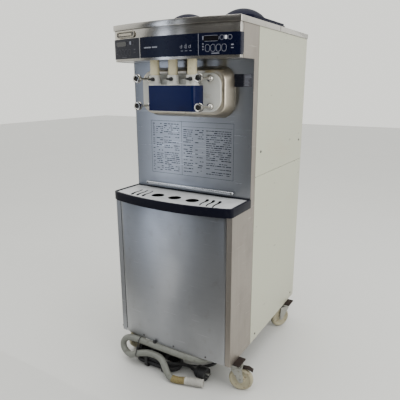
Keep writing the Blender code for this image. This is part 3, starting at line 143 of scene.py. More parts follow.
class MachineSizes(bpy.types.PropertyGroup):
    """Small sizes of the machine's details."""

    edge: bpy.props.FloatProperty(
        name="Edge", description="Rounding of folded sheet edges",
        default=0.0012, min=0.0, unit="LENGTH",
    )
    screw: bpy.props.FloatProperty(
        name="Screw", description="Radius of a panel screw's head",
        default=0.0056, min=0.001, unit="LENGTH",
    )
    dome: bpy.props.FloatProperty(
        name="Dome", description="Radius of the round dome on a hopper lid",
        default=0.098, min=0.02, unit="LENGTH",
    )
    lens: bpy.props.FloatProperty(
        name="Lens", description="Focal length of the camera", default=0.03844, unit="CAMERA",
    )


def looks():
    return bpy.context.scene.machine_looks


def sizes():
    return bpy.context.scene.machine_sizes


# ---- drawing by hand -------------------------------------------------------------------------
def only(obj=None):
    """Selects one object, or nothing."""
    if bpy.context.mode != "OBJECT":
        bpy.ops.object.mode_set(mode="OBJECT")
    bpy.ops.object.select_all(action="DESELECT")
    bpy.context.view_layer.objects.active = obj
    if obj is not None:
        obj.select_set(True)


def edit(obj, kind="FACE", everything=True):
    only(obj)
    bpy.ops.object.mode_set(mode="EDIT")
    bpy.ops.mesh.select_mode(type=kind)
    bpy.ops.mesh.select_all(action="SELECT" if everything else "DESELECT")


def pick(obj, test):
    """In edit mode, selects the faces that pass the test."""
    bpy.ops.mesh.select_all(action="DESELECT")
    shape = bmesh.from_edit_mesh(obj.data)
    for face in shape.faces:
        face.select_set(test(face))
    bmesh.update_edit_mesh(obj.data)


def settle(obj):
    """Puts an object's place into its mesh, so that the object stands at the origin."""
    only(obj)
    bpy.ops.object.transform_apply(location=True, rotation=True, scale=True)
    return obj


def modify(obj, kind, **values):
    only(obj)
    bpy.ops.object.modifier_add(type=kind)
    modifier = obj.modifiers[-1]
    for name, value in values.items():
        setattr(modifier, name, value)
    bpy.ops.object.modifier_apply(modifier=modifier.name)
    return obj


def soften(obj, width, steps=2, angle=30.0):
    return modify(
        obj, "BEVEL", width=width, segments=steps, limit_method="ANGLE", angle_limit=radians(angle)
    )


def smooth(obj, angle=32.0):
    only(obj)
    bpy.ops.object.shade_smooth_by_angle(angle=radians(angle))
    return obj


def outward():
    """In edit mode, merges doubles and turns every face outwards."""
    bpy.ops.mesh.select_all(action="SELECT")
    bpy.ops.mesh.remove_doubles(threshold=0.00002)
    bpy.ops.mesh.normals_make_consistent(inside=False)


def line(name, points):
    """A wire drawn from point to point."""
    only()
    bpy.ops.mesh.primitive_plane_add(size=0.01, location=points[0])
    obj = bpy.context.object
    obj.name = name
    edit(obj, "VERT")
    bpy.ops.mesh.merge(type="CENTER")
    for here, there in zip(points, points[1:]):
        step = Vector(there) - Vector(here)
        bpy.ops.mesh.extrude_vertices_move(TRANSFORM_OT_translate={"value": step})
    return obj


def slab(name, outline, rise):
    """A flat shape filled and extruded by the vector rise."""
    obj = line(name, outline)
    bpy.ops.mesh.select_all(action="SELECT")
    bpy.ops.mesh.edge_face_add()
    bpy.ops.mesh.extrude_region_move(TRANSFORM_OT_translate={"value": rise})
    outward()
    return settle(obj)


def fence(name, path, rise, thickness):
    """A sheet that stands on a path, extruded by the vector rise and given its thickness."""
    obj = line(name, path)
    bpy.ops.mesh.select_all(action="SELECT")
    bpy.ops.mesh.extrude_region_move(TRANSFORM_OT_translate={"value": rise})
    bpy.ops.mesh.select_all(action="SELECT")
    bpy.ops.mesh.normals_make_consistent(inside=False)
    settle(obj)
    return modify(obj, "SOLIDIFY", thickness=thickness, offset=-1.0, use_even_offset=True)


def turned(name, profile, place=None, steps=48):
    """A profile of (radius, height) spun about Z, then put in its place."""
    obj = line(name, [(r, 0.0, h) for r, h in profile])
    bpy.ops.mesh.select_all(action="SELECT")
    bpy.ops.mesh.spin(steps=steps, angle=2 * pi, center=(0, 0, 0), axis=(0, 0, 1))
    outward()
    settle(obj)
    if place is not None:
        obj.matrix_world = place
        settle(obj)
    return obj


def block(name, low, high, edge=0.0, steps=2):
    only()
    middle = [(a + b) / 2 for a, b in zip(low, high)]
    bpy.ops.mesh.primitive_cube_add(size=1.0, location=middle)
    obj = bpy.context.object
    obj.name = name
    obj.scale = [b - a for a, b in zip(low, high)]
    settle(obj)
    return soften(obj, edge, steps) if edge else obj


def joined(name, parts):
    only(parts[0])
    for part in parts[1:]:
        part.select_set(True)
    if len(parts) > 1:
        bpy.ops.object.join()
    parts[0].name = name
    return parts[0]


def boolean(obj, operation, tools):
    for tool in tools:
        modify(obj, "BOOLEAN", object=tool, operation=operation, solver="EXACT")
        bpy.data.objects.remove(tool)
    return obj


def copied(obj, name, place):
    only(obj)
    bpy.ops.object.duplicate()
    new = bpy.context.object
    new.name = name
    new.matrix_world = place
    return settle(new)


# ---- paths -----------------------------------------------------------------------------------
def arc(centre, radius, start, end, steps):
    x, y = centre
    turns = [radians(start + (end - start) * i / steps) for i in range(steps + 1)]
    return [(x + radius * cos(t), y + radius * sin(t)) for t in turns]


def bow(half, edge_y, rise, steps=40):
    """A shallow arc from -half to half that bulges forwards by rise."""
    radius = (half * half + rise * rise) / (2 * rise)
    reach = degrees(acos((radius - rise) / radius))
    return arc((0.0, edge_y - rise + radius), radius, 270 - reach, 270 + reach, steps)


def bow_at(x, half, edge_y, rise):
    """Height and slope angle of the bow at x."""
    radius = (half * half + rise * rise) / (2 * rise)
    return edge_y - rise + radius - (radius * radius - x * x) ** 0.5, Matrix.Rotation(x / radius, 4, "Z")


def rounded(centre, half, corner, steps=8):
    x, y = centre
    a, b = half[0] - corner, half[1] - corner
    quarters = ((a, b, 0), (-a, b, 90), (-a, -b, 180), (a, -b, 270))
    return [p for dx, dy, t in quarters for p in arc((x + dx, y + dy), corner, t, t + 90, steps)]


def flat(path, z):
    return [(x, y, z) for x, y in path]


def upright(path, y):
    return [(x, y, z) for x, z in path]


def curve_through(points, samples=12):
    """Catmull-Rom curve through the points."""
    vectors = [Vector(p) for p in points]
    ends = [vectors[0] * 2 - vectors[1], *vectors, vectors[-1] * 2 - vectors[-2]]
    path = []
    for i in range(1, len(ends) - 2):
        a, b, c, d = ends[i - 1 : i + 3]
        for k in range(samples):
            t = k / samples
            cubic = 3 * b - a - 3 * c + d
            path.append(0.5 * (2 * b + (c - a) * t + (2 * a - 5 * b + 4 * c - d) * t**2 + cubic * t**3))
    return [*path, vectors[-1]]


def run_length(points):
    return sum((Vector(b) - Vector(a)).length for a, b in zip(points, points[1:]))


def rope(name, points, diameter, sides=6):
    """A round flexible piece: one open spline with a round section."""
    data = bpy.data.curves.new(name, "CURVE")
    data.dimensions = "3D"
    data.bevel_depth = diameter / 2
    data.bevel_resolution = sides
    data.use_fill_caps = True
    spline = data.splines.new("POLY")
    spline.points.add(len(points) - 1)
    for point, at in zip(spline.points, points):
        point.co = (*at, 1.0)
    spline.use_smooth = True
    obj = bpy.data.objects.new(name, data)
    bpy.context.scene.collection.objects.link(obj)
    return obj


def span(start, end):
    """Matrix whose local Z runs from start to end, and the distance."""
    start, end = Vector(start), Vector(end)
    turn = (end - start).to_track_quat("Z", "Y").to_matrix().to_4x4()
    return Matrix.Translation(start) @ turn, (end - start).length


FACING = {
    "-Y": Matrix.Rotation(radians(90), 4, "X"),
    "Y": Matrix.Rotation(radians(-90), 4, "X"),
    "X": Matrix.Rotation(radians(90), 4, "Y"),
    "-X": Matrix.Rotation(radians(-90), 4, "Y"),
    "Z": Matrix.Identity(4),
}


def facing(axis, at):
    return Matrix.Translation(at) @ FACING[axis]


# ---- shader groups ---------------------------------------------------------------------------
def shader_group(name, inputs, outputs):
    tree = bpy.data.node_groups.new(name, "ShaderNodeTree")
    for label, kind in inputs:
        tree.interface.new_socket(name=label, in_out="INPUT", socket_type=kind)
    for label in outputs:
        tree.interface.new_socket(name=label, in_out="OUTPUT", socket_type="NodeSocketFloat")
    return tree, tree.nodes.new("NodeGroupInput"), tree.nodes.new("NodeGroupOutput")


def stretched_noise(tree, start, detail):
    stretch = tree.nodes.new("ShaderNodeVectorMath")
    stretch.operation = "MULTIPLY"
    tree.links.new(start.outputs["Place"], stretch.inputs[0])
    tree.links.new(start.outputs["Stretch"], stretch.inputs[1])
    noise = tree.nodes.new("ShaderNodeTexNoise")
    noise.inputs["Scale"].default_value = 1.0
    noise.inputs["Detail"].default_value = detail
    tree.links.new(stretch.outputs[0], noise.inputs["Vector"])
    return noise


def grain_group():
    """Continuous streaks or mottling, from 0 to 1."""
    tree, start, end = shader_group(
        "grain", [("Place", "NodeSocketVector"), ("Stretch", "NodeSocketVector")], ["Value"]
    )
    noise = stretched_noise(tree, start, 4.0)
    tree.links.new(noise.outputs["Fac"], end.inputs["Value"])
    return tree


def marks_group():
    """Separate stains, scuffs or scratches: noise cut off between Low and High."""
    sockets = [("Place", "NodeSocketVector"), ("Stretch", "NodeSocketVector")]
    sockets += [("Low", "NodeSocketFloat"), ("High", "NodeSocketFloat")]
    tree, start, end = shader_group("marks", sockets, ["Mask"])
    noise = stretched_noise(tree, start, 6.0)
    cut = tree.nodes.new("ShaderNodeMapRange")
    tree.links.new(noise.outputs["Fac"], cut.inputs["Value"])
    tree.links.new(start.outputs["Low"], cut.inputs["From Min"])
    tree.links.new(start.outputs["High"], cut.inputs["From Max"])
    tree.links.new(cut.outputs["Result"], end.inputs["Mask"])
    return tree


def settled_group():
    """Dirt that gathers towards one height: 1 at Level, 0 at Level plus Reach, broken by noise."""
    sockets = [("Place", "NodeSocketVector"), ("Stretch", "NodeSocketVector")]
    sockets += [("Level", "NodeSocketFloat"), ("Reach", "NodeSocketFloat")]
    tree, start, end = shader_group("settled", sockets, ["Mask"])
    split = tree.nodes.new("ShaderNodeSeparateXYZ")
    tree.links.new(start.outputs["Place"], split.inputs[0])
    drop = tree.nodes.new("ShaderNodeMath")
    drop.operation = "SUBTRACT"
    tree.links.new(split.outputs["Z"], drop.inputs[0])
    tree.links.new(start.outputs["Level"], drop.inputs[1])
    share = tree.nodes.new("ShaderNodeMath")
    share.operation = "DIVIDE"
    tree.links.new(drop.outputs[0], share.inputs[0])
    tree.links.new(start.outputs["Reach"], share.inputs[1])
    fade = tree.nodes.new("ShaderNodeMath")
    fade.operation = "SUBTRACT"
    fade.use_clamp = True
    fade.inputs[0].default_value = 1.0
    tree.links.new(share.outputs[0], fade.inputs[1])
    noise = stretched_noise(tree, start, 5.0)
    patch = tree.nodes.new("ShaderNodeMath")
    patch.operation = "MULTIPLY"
    tree.links.new(noise.outputs["Fac"], patch.inputs[0])
    tree.links.new(fade.outputs[0], patch.inputs[1])
    tree.links.new(patch.outputs[0], end.inputs["Mask"])
    return tree


GROUPS = {}


def make_groups():
    GROUPS["grain"] = grain_group()
    GROUPS["marks"] = marks_group()
    GROUPS["settled"] = settled_group()


# ---- finishes --------------------------------------------------------------------------------
class Finish:
    """One material: a base, then layers of grain, marks and dirt over it."""

    def __init__(self, name, color, roughness, metallic=0.0, coat=0.0, coat_roughness=0.1, specular=0.5):
        self.material = bpy.data.materials.new(name)
        self.material.use_nodes = True
        self.tree = self.material.node_tree
        self.shader = self.tree.nodes["Principled BSDF"]
        self.shader.inputs["Metallic"].default_value = metallic
        self.shader.inputs["Coat Weight"].default_value = coat
        self.shader.inputs["Coat Roughness"].default_value = coat_roughness
        self.shader.inputs["Specular IOR Level"].default_value = specular
        self.place = self.tree.nodes.new("ShaderNodeTexCoord").outputs["Object"]
        self.color = (*color, 1.0)
        self.roughness = roughness
        self.height = None

    def group(self, kind, stretch, **values):
        node = self.tree.nodes.new("ShaderNodeGroup")
        node.node_tree = GROUPS[kind]
        self.tree.links.new(self.place, node.inputs["Place"])
        node.inputs["Stretch"].default_value = stretch
        for name, value in values.items():
            node.inputs[name].default_value = value
        return node.outputs[0]

    def mixed(self, kind, before, after, mask, share):
        mix = self.tree.nodes.new("ShaderNodeMix")
        mix.data_type = kind
        a, b = ("A_Color", "B_Color") if kind == "RGBA" else ("A_Float", "B_Float")
        sockets = {s.identifier: s for s in mix.inputs}
        strength = self.tree.nodes.new("ShaderNodeMath")
        strength.operation = "MULTIPLY"
        strength.inputs[1].default_value = share
        self.tree.links.new(mask, strength.inputs[0])
        self.tree.links.new(strength.outputs[0], sockets["Factor_Float"])
        for key, value in ((a, before), (b, after)):
            if isinstance(value, bpy.types.NodeSocket):
                self.tree.links.new(value, sockets[key])
            else:
                sockets[key].default_value = value
        return next(s for s in mix.outputs if s.identifier == ("Result_Color" if kind == "RGBA" else "Result_Float"))

    def layer(self, mask, color=None, roughness=None, share=1.0):
        """Where the mask is 1, the finish takes this colour and roughness."""
        if color is not None:
            self.color = self.mixed("RGBA", self.color, (*color, 1.0), mask, share)
        if roughness is not None:
            self.roughness = self.mixed("FLOAT", self.roughness, roughness, mask, share)
        return self

    def bump(self, mask, depth):
        node = self.tree.nodes.new("ShaderNodeBump")
        node.inputs["Strength"].default_value = 1.0
        node.inputs["Distance"].default_value = depth
        self.tree.links.new(mask, node.inputs["Height"])
        if self.height is not None:
            self.tree.links.new(self.height, node.inputs["Normal"])
        self.height = node.outputs[0]
        return self

    def done(self):
        for value, name in ((self.color, "Base Color"), (self.roughness, "Roughness")):
            if isinstance(value, bpy.types.NodeSocket):
                self.tree.links.new(value, self.shader.inputs[name])
            else:
                self.shader.inputs[name].default_value = value
        if self.height is not None:
            self.tree.links.new(self.height, self.shader.inputs["Normal"])
        return self.material


def shade(color, factor):
    return tuple(min(1.0, c * factor) for c in color)


def brushed(name, color, roughness, along, streak=0.35, stain=(0.20, 0.17, 0.12), soil=0.25, depth=0.00002, draw=0.0):
    """Stainless steel brushed along X, Y or Z, with handling marks and fine scratches; draw pulls highlights up and down."""
    long, across = 4.0, 420.0
    stretch = {"X": (long, across, across), "Y": (across, long, across), "Z": (across, across, long)}[along]
    coarse = tuple(s / 9 for s in stretch)
    steel = Finish(name, color, roughness, metallic=1.0)
    steel.shader.inputs["Anisotropic"].default_value = draw
    steel.shader.inputs["Anisotropic Rotation"].default_value = 0.25
    steel.layer(steel.group("grain", coarse), shade(color, 0.72), roughness * 1.25, streak)
    steel.layer(steel.group("grain", stretch), shade(color, 1.25), roughness * 0.85, streak)
    smears = steel.group("marks", (7.0, 7.0, 5.0), Low=0.48, High=0.72)
    steel.layer(smears, shade(color, 0.80), roughness * 1.35, 0.55)
    spots = steel.group("marks", (26.0, 26.0, 20.0), Low=0.60, High=0.70)
    steel.layer(spots, stain, roughness * 1.3, soil)
    scratches = steel.group("marks", (9.0, 9.0, 160.0), Low=0.66, High=0.70)
    steel.layer(scratches, shade(color, 1.5), roughness * 0.8, 0.5)
    steel.bump(steel.group("grain", stretch), depth)
    steel.bump(steel.group("grain", (5.0, 5.0, 1.5)), 0.0005)
    return steel


def moulded(name, color, roughness, soil_color, soil=0.3, coat=0.0, scale=30.0, metallic=0.0, specular=0.35):
    """Moulded or painted surface with a fine texture, rubbed patches and grime."""
    plastic = Finish(name, color, roughness, metallic=metallic, coat=coat, specular=specular)
    plastic.layer(plastic.group("grain", (scale,) * 3), shade(color, 0.85), roughness * 1.2, 0.5)
    rubbed = plastic.group("marks", (scale * 0.5,) * 3, Low=0.50, High=0.66)
    plastic.layer(rubbed, shade(color, 1.15), roughness * 1.25, 0.45)
    grime = plastic.group("marks", (scale * 1.7,) * 3, Low=0.58, High=0.70)
    plastic.layer(grime, soil_color, min(1.0, roughness * 1.6), soil)
    plastic.bump(plastic.group("grain", (900.0,) * 3), 0.00002)
    return plastic


LOOKS = {}


def make_finishes():
    steel, warm = tuple(looks().steel), tuple(looks().warm_steel)
    enamel, navy, blue, cream = (tuple(c) for c in (looks().enamel, looks().navy, looks().blue, looks().cream))
    grime, rust = (0.10, 0.08, 0.05), (0.10, 0.035, 0.012)

    front = brushed("front_steel", steel, 0.34, "X", 0.30, soil=0.15, draw=0.85)
    foot = front.group("settled", (9.0, 9.0, 6.0), Level=PANEL_LOW.z, Reach=0.30)
    front.layer(foot, (0.50, 0.49, 0.49), 0.50, 0.45)
    LOOKS["front_steel"] = front.done()
    # The splash panel's steel is the front steel darkened to 0.86, which is painted shade of the recess under the head.
    # Its grain, marks and roughness are the steel's own.
    LOOKS["shaded_splash_steel"] = brushed("shaded_splash_steel", shade(steel, 0.86), 0.30, "X", 0.25, soil=0.10, draw=0.8).done()
    LOOKS["head_steel"] = brushed("head_steel", (0.50, 0.48, 0.45), 0.22, "X", 0.22, soil=0.15, draw=0.8).done()
    trim = brushed("trim_steel", warm, 0.42, "Z", 0.60, soil=0.12)
    foot = trim.group("settled", (14.0, 14.0, 5.0), Level=PANEL_LOW.z, Reach=0.45)
    trim.layer(foot, (0.40, 0.35, 0.30), 0.6, 0.5)
    LOOKS["trim_steel"] = trim.done()
    LOOKS["left_trim_steel"] = brushed("left_trim_steel", shade(steel, 0.9), 0.36, "Z", 0.3, soil=0.12).done()
    LOOKS["collar_steel"] = brushed("collar_steel", (0.60, 0.54, 0.44), 0.34, "X", 0.4, soil=0.4).done()
    LOOKS["bright_steel"] = moulded("bright_steel", (0.62, 0.64, 0.68), 0.20, (0.3, 0.3, 0.3), 0.1, scale=8.0, metallic=1.0).done()
    LOOKS["inner_steel"] = brushed("inner_steel", (0.58, 0.58, 0.57), 0.30, "Z", 0.2, soil=0.1).done()
    LOOKS["back_steel"] = brushed("back_steel", (0.48, 0.47, 0.45), 0.42, "Z", 0.3, soil=0.3).done()

    paint = Finish("ivory_enamel", enamel, 0.42, coat=0.15, coat_roughness=0.3)
    paint.layer(paint.group("grain", (2.2, 2.2, 1.6)), shade(enamel, 0.92), 0.5, 0.6)
    paint.layer(paint.group("marks", (9.0, 6.0, 9.0), Low=0.60, High=0.72), (0.46, 0.43, 0.33), 0.55, 0.35)
    paint.layer(paint.group("marks", (70.0, 18.0, 60.0), Low=0.70, High=0.73), (0.20, 0.18, 0.14), 0.6, 0.6)
    paint.layer(paint.group("settled", (10.0, 10.0, 7.0), Level=PANEL_LOW.z, Reach=0.22), (0.36, 0.33, 0.26), 0.6, 0.5)
    paint.bump(paint.group("grain", (260.0,) * 3), 0.00006)
    LOOKS["ivory_enamel"] = paint.done()

    LOOKS["navy_film"] = moulded("navy_film", navy, 0.26, (0.008, 0.008, 0.016), 0.25, scale=18.0, specular=0.2).done()
    LOOKS["worn_film"] = moulded("worn_film", (0.016, 0.017, 0.026), 0.38, (0.035, 0.032, 0.03), 0.4, scale=24.0, specular=0.25).done()
    LOOKS["tray_plastic"] = moulded("tray_plastic", (0.0035, 0.004, 0.011), 0.42, (0.02, 0.02, 0.025), 0.2, specular=0.12).done()
    LOOKS["lid_plastic"] = moulded("lid_plastic", (0.004, 0.005, 0.016), 0.40, (0.03, 0.03, 0.04), 0.2, scale=12.0, specular=0.03).done()
    LOOKS["blue_plastic"] = moulded("blue_plastic", blue, 0.30, shade(blue, 0.5), 0.3, scale=10.0, specular=0.2).done()
    LOOKS["white_plastic"] = moulded("white_plastic", (0.56, 0.56, 0.53), 0.34, (0.34, 0.29, 0.19), 0.30, scale=22.0).done()
    LOOKS["cream_plastic"] = moulded("cream_plastic", cream, 0.36, (0.33, 0.27, 0.14), 0.35, scale=34.0).done()
    LOOKS["wheel_nylon"] = moulded("wheel_nylon", shade(cream, 0.55), 0.42, (0.12, 0.065, 0.03), 0.7, scale=46.0).done()
    LOOKS["plate_enamel"] = moulded("plate_enamel", (0.50, 0.51, 0.52), 0.36, (0.32, 0.31, 0.28), 0.25, scale=26.0).done()
    LOOKS["black_plastic"] = moulded("black_plastic", (0.018, 0.018, 0.019), 0.48, grime, 0.25).done()
    LOOKS["cable_black"] = moulded("cable_black", (0.009, 0.009, 0.010), 0.50, (0.05, 0.045, 0.04), 0.4, scale=40.0).done()
    hose = moulded("hose_grey", (0.170, 0.175, 0.155), 0.42, (0.07, 0.065, 0.05), 0.45, scale=26.0)
    LOOKS["hose_grey"] = hose.done()
    LOOKS["cuff_grey"] = moulded("cuff_grey", (0.40, 0.39, 0.36), 0.5, (0.16, 0.13, 0.08), 0.5, scale=60.0).done()
    LOOKS["stain_brown"] = moulded("stain_brown", (0.19, 0.15, 0.06), 0.6, (0.05, 0.035, 0.015), 0.8, scale=110.0).done()
    LOOKS["worn_zinc"] = moulded("worn_zinc", (0.34, 0.34, 0.31), 0.42, rust, 0.55, scale=60.0, metallic=0.8).done()
    LOOKS["rusty_plate"] = moulded("rusty_plate", (0.016, 0.009, 0.007), 0.7, shade(rust, 0.5), 0.5, scale=90.0, metallic=0.3).done()
    LOOKS["galvanised"] = moulded("galvanised", (0.36, 0.36, 0.36), 0.45, grime, 0.3, scale=40.0, metallic=0.9).done()
    LOOKS["dark_enamel"] = moulded("dark_enamel", (0.035, 0.040, 0.045), 0.4, grime, 0.3, coat=0.2).done()
    LOOKS["machined"] = brushed("machined", (0.60, 0.60, 0.60), 0.30, "Y", 0.3, soil=0.1).done()
    LOOKS["belt_rubber"] = moulded("belt_rubber", (0.014, 0.014, 0.014), 0.7, (0.05, 0.05, 0.05), 0.4, scale=90.0).done()
    LOOKS["knob_chrome"] = brushed("knob_chrome", (0.62, 0.60, 0.56), 0.16, "Z", 0.15, soil=0.5).done()
    LOOKS["screw_steel"] = brushed("screw_steel", (0.14, 0.135, 0.13), 0.34, "Y", 0.2, soil=0.5).done()
    LOOKS["print_dark"] = moulded("print_dark", (0.012, 0.013, 0.022), 0.45, (0.10, 0.10, 0.12), 0.4, scale=160.0, specular=0.1).done()
    LOOKS["print_pale"] = moulded("print_pale", (0.24, 0.25, 0.30), 0.45, (0.20, 0.20, 0.22), 0.4, scale=160.0, specular=0.1).done()
    LOOKS["print_grey"] = moulded("print_grey", (0.085, 0.085, 0.10), 0.45, (0.06, 0.06, 0.08), 0.4, scale=160.0, specular=0.1).done()
    LOOKS["print_white"] = moulded("print_white", (0.70, 0.72, 0.78), 0.4, (0.4, 0.4, 0.42), 0.2).done()
    LOOKS["display_glass"] = moulded("display_glass", (0.004, 0.004, 0.006), 0.10, (0.02, 0.02, 0.02), 0.2, coat=0.8, scale=60.0).done()
    LOOKS["badge_metal"] = moulded("badge_metal", (0.52, 0.48, 0.40), 0.36, (0.12, 0.10, 0.08), 0.4, scale=80.0, metallic=0.9).done()


# ---- handing a piece over --------------------------------------------------------------------
def keep(obj, look, body="cabinet", stands_for=()):
    obj.data.materials.clear()
    obj.data.materials.append(LOOKS[look])
    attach(obj, body)
    if stands_for:
        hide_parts(*stands_for)
    return obj


def dress(node, look, edge=0.0):
    """Gives a frame node its finish, and softens the folded edges of a flat one."""
    obj = NODES[node]
    obj.data.materials.clear()
    obj.data.materials.append(LOOKS[look])
    if edge:
        weld = obj.modifiers.new("weld", "WELD")
        weld.merge_threshold = 0.00002
        bevel = obj.modifiers.new("edge", "BEVEL")
        bevel.width = edge
        bevel.segments = 2
        bevel.limit_method = "ANGLE"
        bevel.angle_limit = radians(40)


def screws(name, places, axis, radius, look="screw_steel", body="cabinet"):
    """Domed screw heads with a round recess, all of one size and direction."""
    r = radius
    profile = [
        (0.0, 0.10 * r), (0.28 * r, 0.10 * r), (0.32 * r, 0.42 * r), (0.62 * r, 0.36 * r),
        (0.90 * r, 0.20 * r), (r, 0.0), (r, -0.10 * r), (0.0, -0.10 * r),
    ]
    first = turned(name, profile, facing(axis, places[0]), 20)
    rest = [
        copied(first, f"{name}_{i}", Matrix.Translation(Vector(at) - Vector(places[0])))
        for i, at in enumerate(places[1:])
    ]
    return keep(smooth(joined(name, [first, *rest])), look, body)


# ---- stage -----------------------------------------------------------------------------------
def area_light(name, at, towards, size, power, color=(1.0, 1.0, 1.0), only_gloss=False):
    data = bpy.data.lights.new(name, "AREA")
    data.shape = "RECTANGLE"
    data.size, data.size_y = size
    data.energy = power
    data.color = color
    lamp = bpy.data.objects.new(name, data)
    lamp.location = at
    lamp.rotation_euler = (Vector(towards) - Vector(at)).to_track_quat("-Z", "Y").to_euler()
    lamp.visible_diffuse = not only_gloss
    bpy.context.scene.collection.objects.link(lamp)


def grey_card(name, corners, tone):
    """A studio card that only shows in the steel's reflections."""
    card = slab(name, corners, (0, 0, 0.002))
    card.data.materials.append(Finish(name, (tone, tone * 0.98, tone * 0.95), 0.9).done())
    for ray in ("camera", "diffuse", "shadow", "transmission", "volume_scatter"):
        setattr(card, f"visible_{ray}", False)


class MACHINE_OT_stage(bpy.types.Operator):
    """Adds the camera, the floor and the soft studio light"""

    bl_idname = "machine.stage"
    bl_label = "Stage"

    def execute(self, context):
        scene = context.scene
        data = bpy.data.cameras.new("camera")
        data.sensor_width = 36.0
        data.lens = sizes().lens * 1000.0
        camera = bpy.data.objects.new("camera", data)
        scene.collection.objects.link(camera)
        forward = Vector((-0.50137, 0.82538, -0.25957))
        turn = forward.to_track_quat("-Z", "Y").to_matrix().to_4x4()
        camera.matrix_world = (
            Matrix.Translation((0.93424, -1.64779, 1.21403)) @ turn @ Matrix.Rotation(-0.0032, 4, "Z")
        )
        scene.camera = camera

        only()
        bpy.ops.mesh.primitive_plane_add(size=24.0)
        floor = context.object
        floor.name = "floor"
        pale = Finish("pale_floor", (0.60, 0.60, 0.58), 0.55)
        pale.layer(pale.group("grain", (1.5, 1.5, 1.5)), (0.54, 0.54, 0.53), 0.5, 0.5)
        floor.data.materials.append(pale.done())

        grey_card("card_low", flat([(-4.5, -4.2), (2.5, -4.2), (2.5, -0.62), (-4.5, -0.62)], 0.004), 0.15)
        grey_card("card_high", [(-4.5, -3.9, 0.01), (2.5, -3.9, 0.01), (2.5, -3.9, 5.5), (-4.5, -3.9, 5.5)], 0.045)
        grey_card("card_path", flat([(-0.42, -0.80), (-0.30, -0.86), (-1.76, -3.24), (-2.20, -2.96)], 0.010), 0.85)

        world = bpy.data.worlds.new("room")
        scene.world = world
        world.use_nodes = True
        tree = world.node_tree
        place = tree.nodes.new("ShaderNodeTexCoord")
        along = tree.nodes.new("ShaderNodeVectorMath")
        along.operation = "DOT_PRODUCT"
        along.inputs[1].default_value = (-0.52, 0.85, 0.10)
        ramp = tree.nodes.new("ShaderNodeValToRGB")
        ramp.color_ramp.elements[0].position = 0.10
        ramp.color_ramp.elements[0].color = (0.20, 0.21, 0.22, 1.0)
        ramp.color_ramp.elements[1].position = 0.62
        ramp.color_ramp.elements[1].color = (0.66, 0.66, 0.62, 1.0)
        shift = tree.nodes.new("ShaderNodeMapRange")
        shift.inputs["From Min"].default_value = -1.0
        tree.links.new(place.outputs["Generated"], along.inputs[0])
        tree.links.new(along.outputs["Value"], shift.inputs["Value"])
        tree.links.new(shift.outputs["Result"], ramp.inputs["Fac"])
        tree.links.new(ramp.outputs["Color"], tree.nodes["Background"].inputs["Color"])
        tree.nodes["Background"].inputs["Strength"].default_value = 2.0

        area_light("ceiling", (0.3, -0.4, 3.4), (0.0, 0.0, 0.6), (3.4, 3.0), 70.0)
        sky = bpy.data.lights.new("soft_sky", "SUN")
        sky.energy, sky.angle = 1.1, radians(110)
        scene.collection.objects.link(bpy.data.objects.new("soft_sky", sky))
        area_light("wide_strip", (-1.87, -2.70, 1.25), (0.0, -0.3, 1.0), (0.36, 2.5), 9.0, (0.72, 0.82, 1.0), True)
        area_light("narrow_strip", (-1.40, -2.96, 1.25), (0.0, -0.3, 1.0), (0.18, 2.5), 2.0, (0.80, 0.88, 1.0), True)
        area_light("right_wall", (3.4, -0.5, 1.7), (0.2, 0.1, 0.8), (2.6, 2.4), 66.0, (1.0, 0.98, 0.93))
        return {"FINISHED"}


# ---- hose and cable --------------------------------------------------------------------------
def hank_path():
    """The cable's turns in its hank, one on the other, and where the last one leaves."""
    x, y = HANK_CENTRE
    half = HANK_RUN / 2
    fold = pi * HANK_FOLD_R
    turn = 2 * (HANK_RUN + fold)
    whole = HANK_TURNS * turn + 2 * HANK_RUN + fold + radians(HANK_LEAVES) * HANK_FOLD_R
    points = []
    steps = int(whole / 0.011)
    for i in range(steps + 1):
        gone = whole * i / steps
        lap, s = divmod(gone, turn)
        sway = min(1.0, s / 0.07)
        side = 1 if lap % 2 else -1
        r = HANK_FOLD_R + 0.0024 * (side if lap == 0 else -side + 2 * side * sway)
        z = CORD_ROUTE[-1][2] + 0.0124 * gone / turn
        if s < HANK_RUN:
            points.append((x + half - s, y + r, z))
        elif s < HANK_RUN + fold:
            t = pi / 2 + (s - HANK_RUN) / HANK_FOLD_R
            points.append((x - half + r * cos(t), y + r * sin(t), z))
        elif s < 2 * HANK_RUN + fold:
            points.append((x - half + s - HANK_RUN - fold, y - r, z))
        else:
            t = -pi / 2 + (s - 2 * HANK_RUN - fold) / HANK_FOLD_R
            points.append((x + half + r * cos(t), y + r * sin(t), z))
    return points


def band(name, centres, radius, x, width, thickness):
    """A strap round one or two round legs that run along X."""
    (ya, za), (yb, zb) = centres
    lean = Vector((yb - ya, zb - za)).angle_signed(Vector((0.0, -1.0))) if (ya, za) != (yb, zb) else 0.0
    path = arc((ya, za), radius, 0 + degrees(lean), 180 + degrees(lean), 12)
    path += arc((yb, zb), radius, 180 + degrees(lean), 360 + degrees(lean), 12)
    ring = line(name, [(x, a, b) for a, b in [*path, path[0]]])
    bpy.ops.mesh.select_all(action="SELECT")
    bpy.ops.mesh.extrude_region_move(TRANSFORM_OT_translate={"value": (width, 0, 0)})
    outward()
    settle(ring)
    modify(ring, "SOLIDIFY", thickness=thickness, offset=1.0, use_even_offset=True)
    return ring


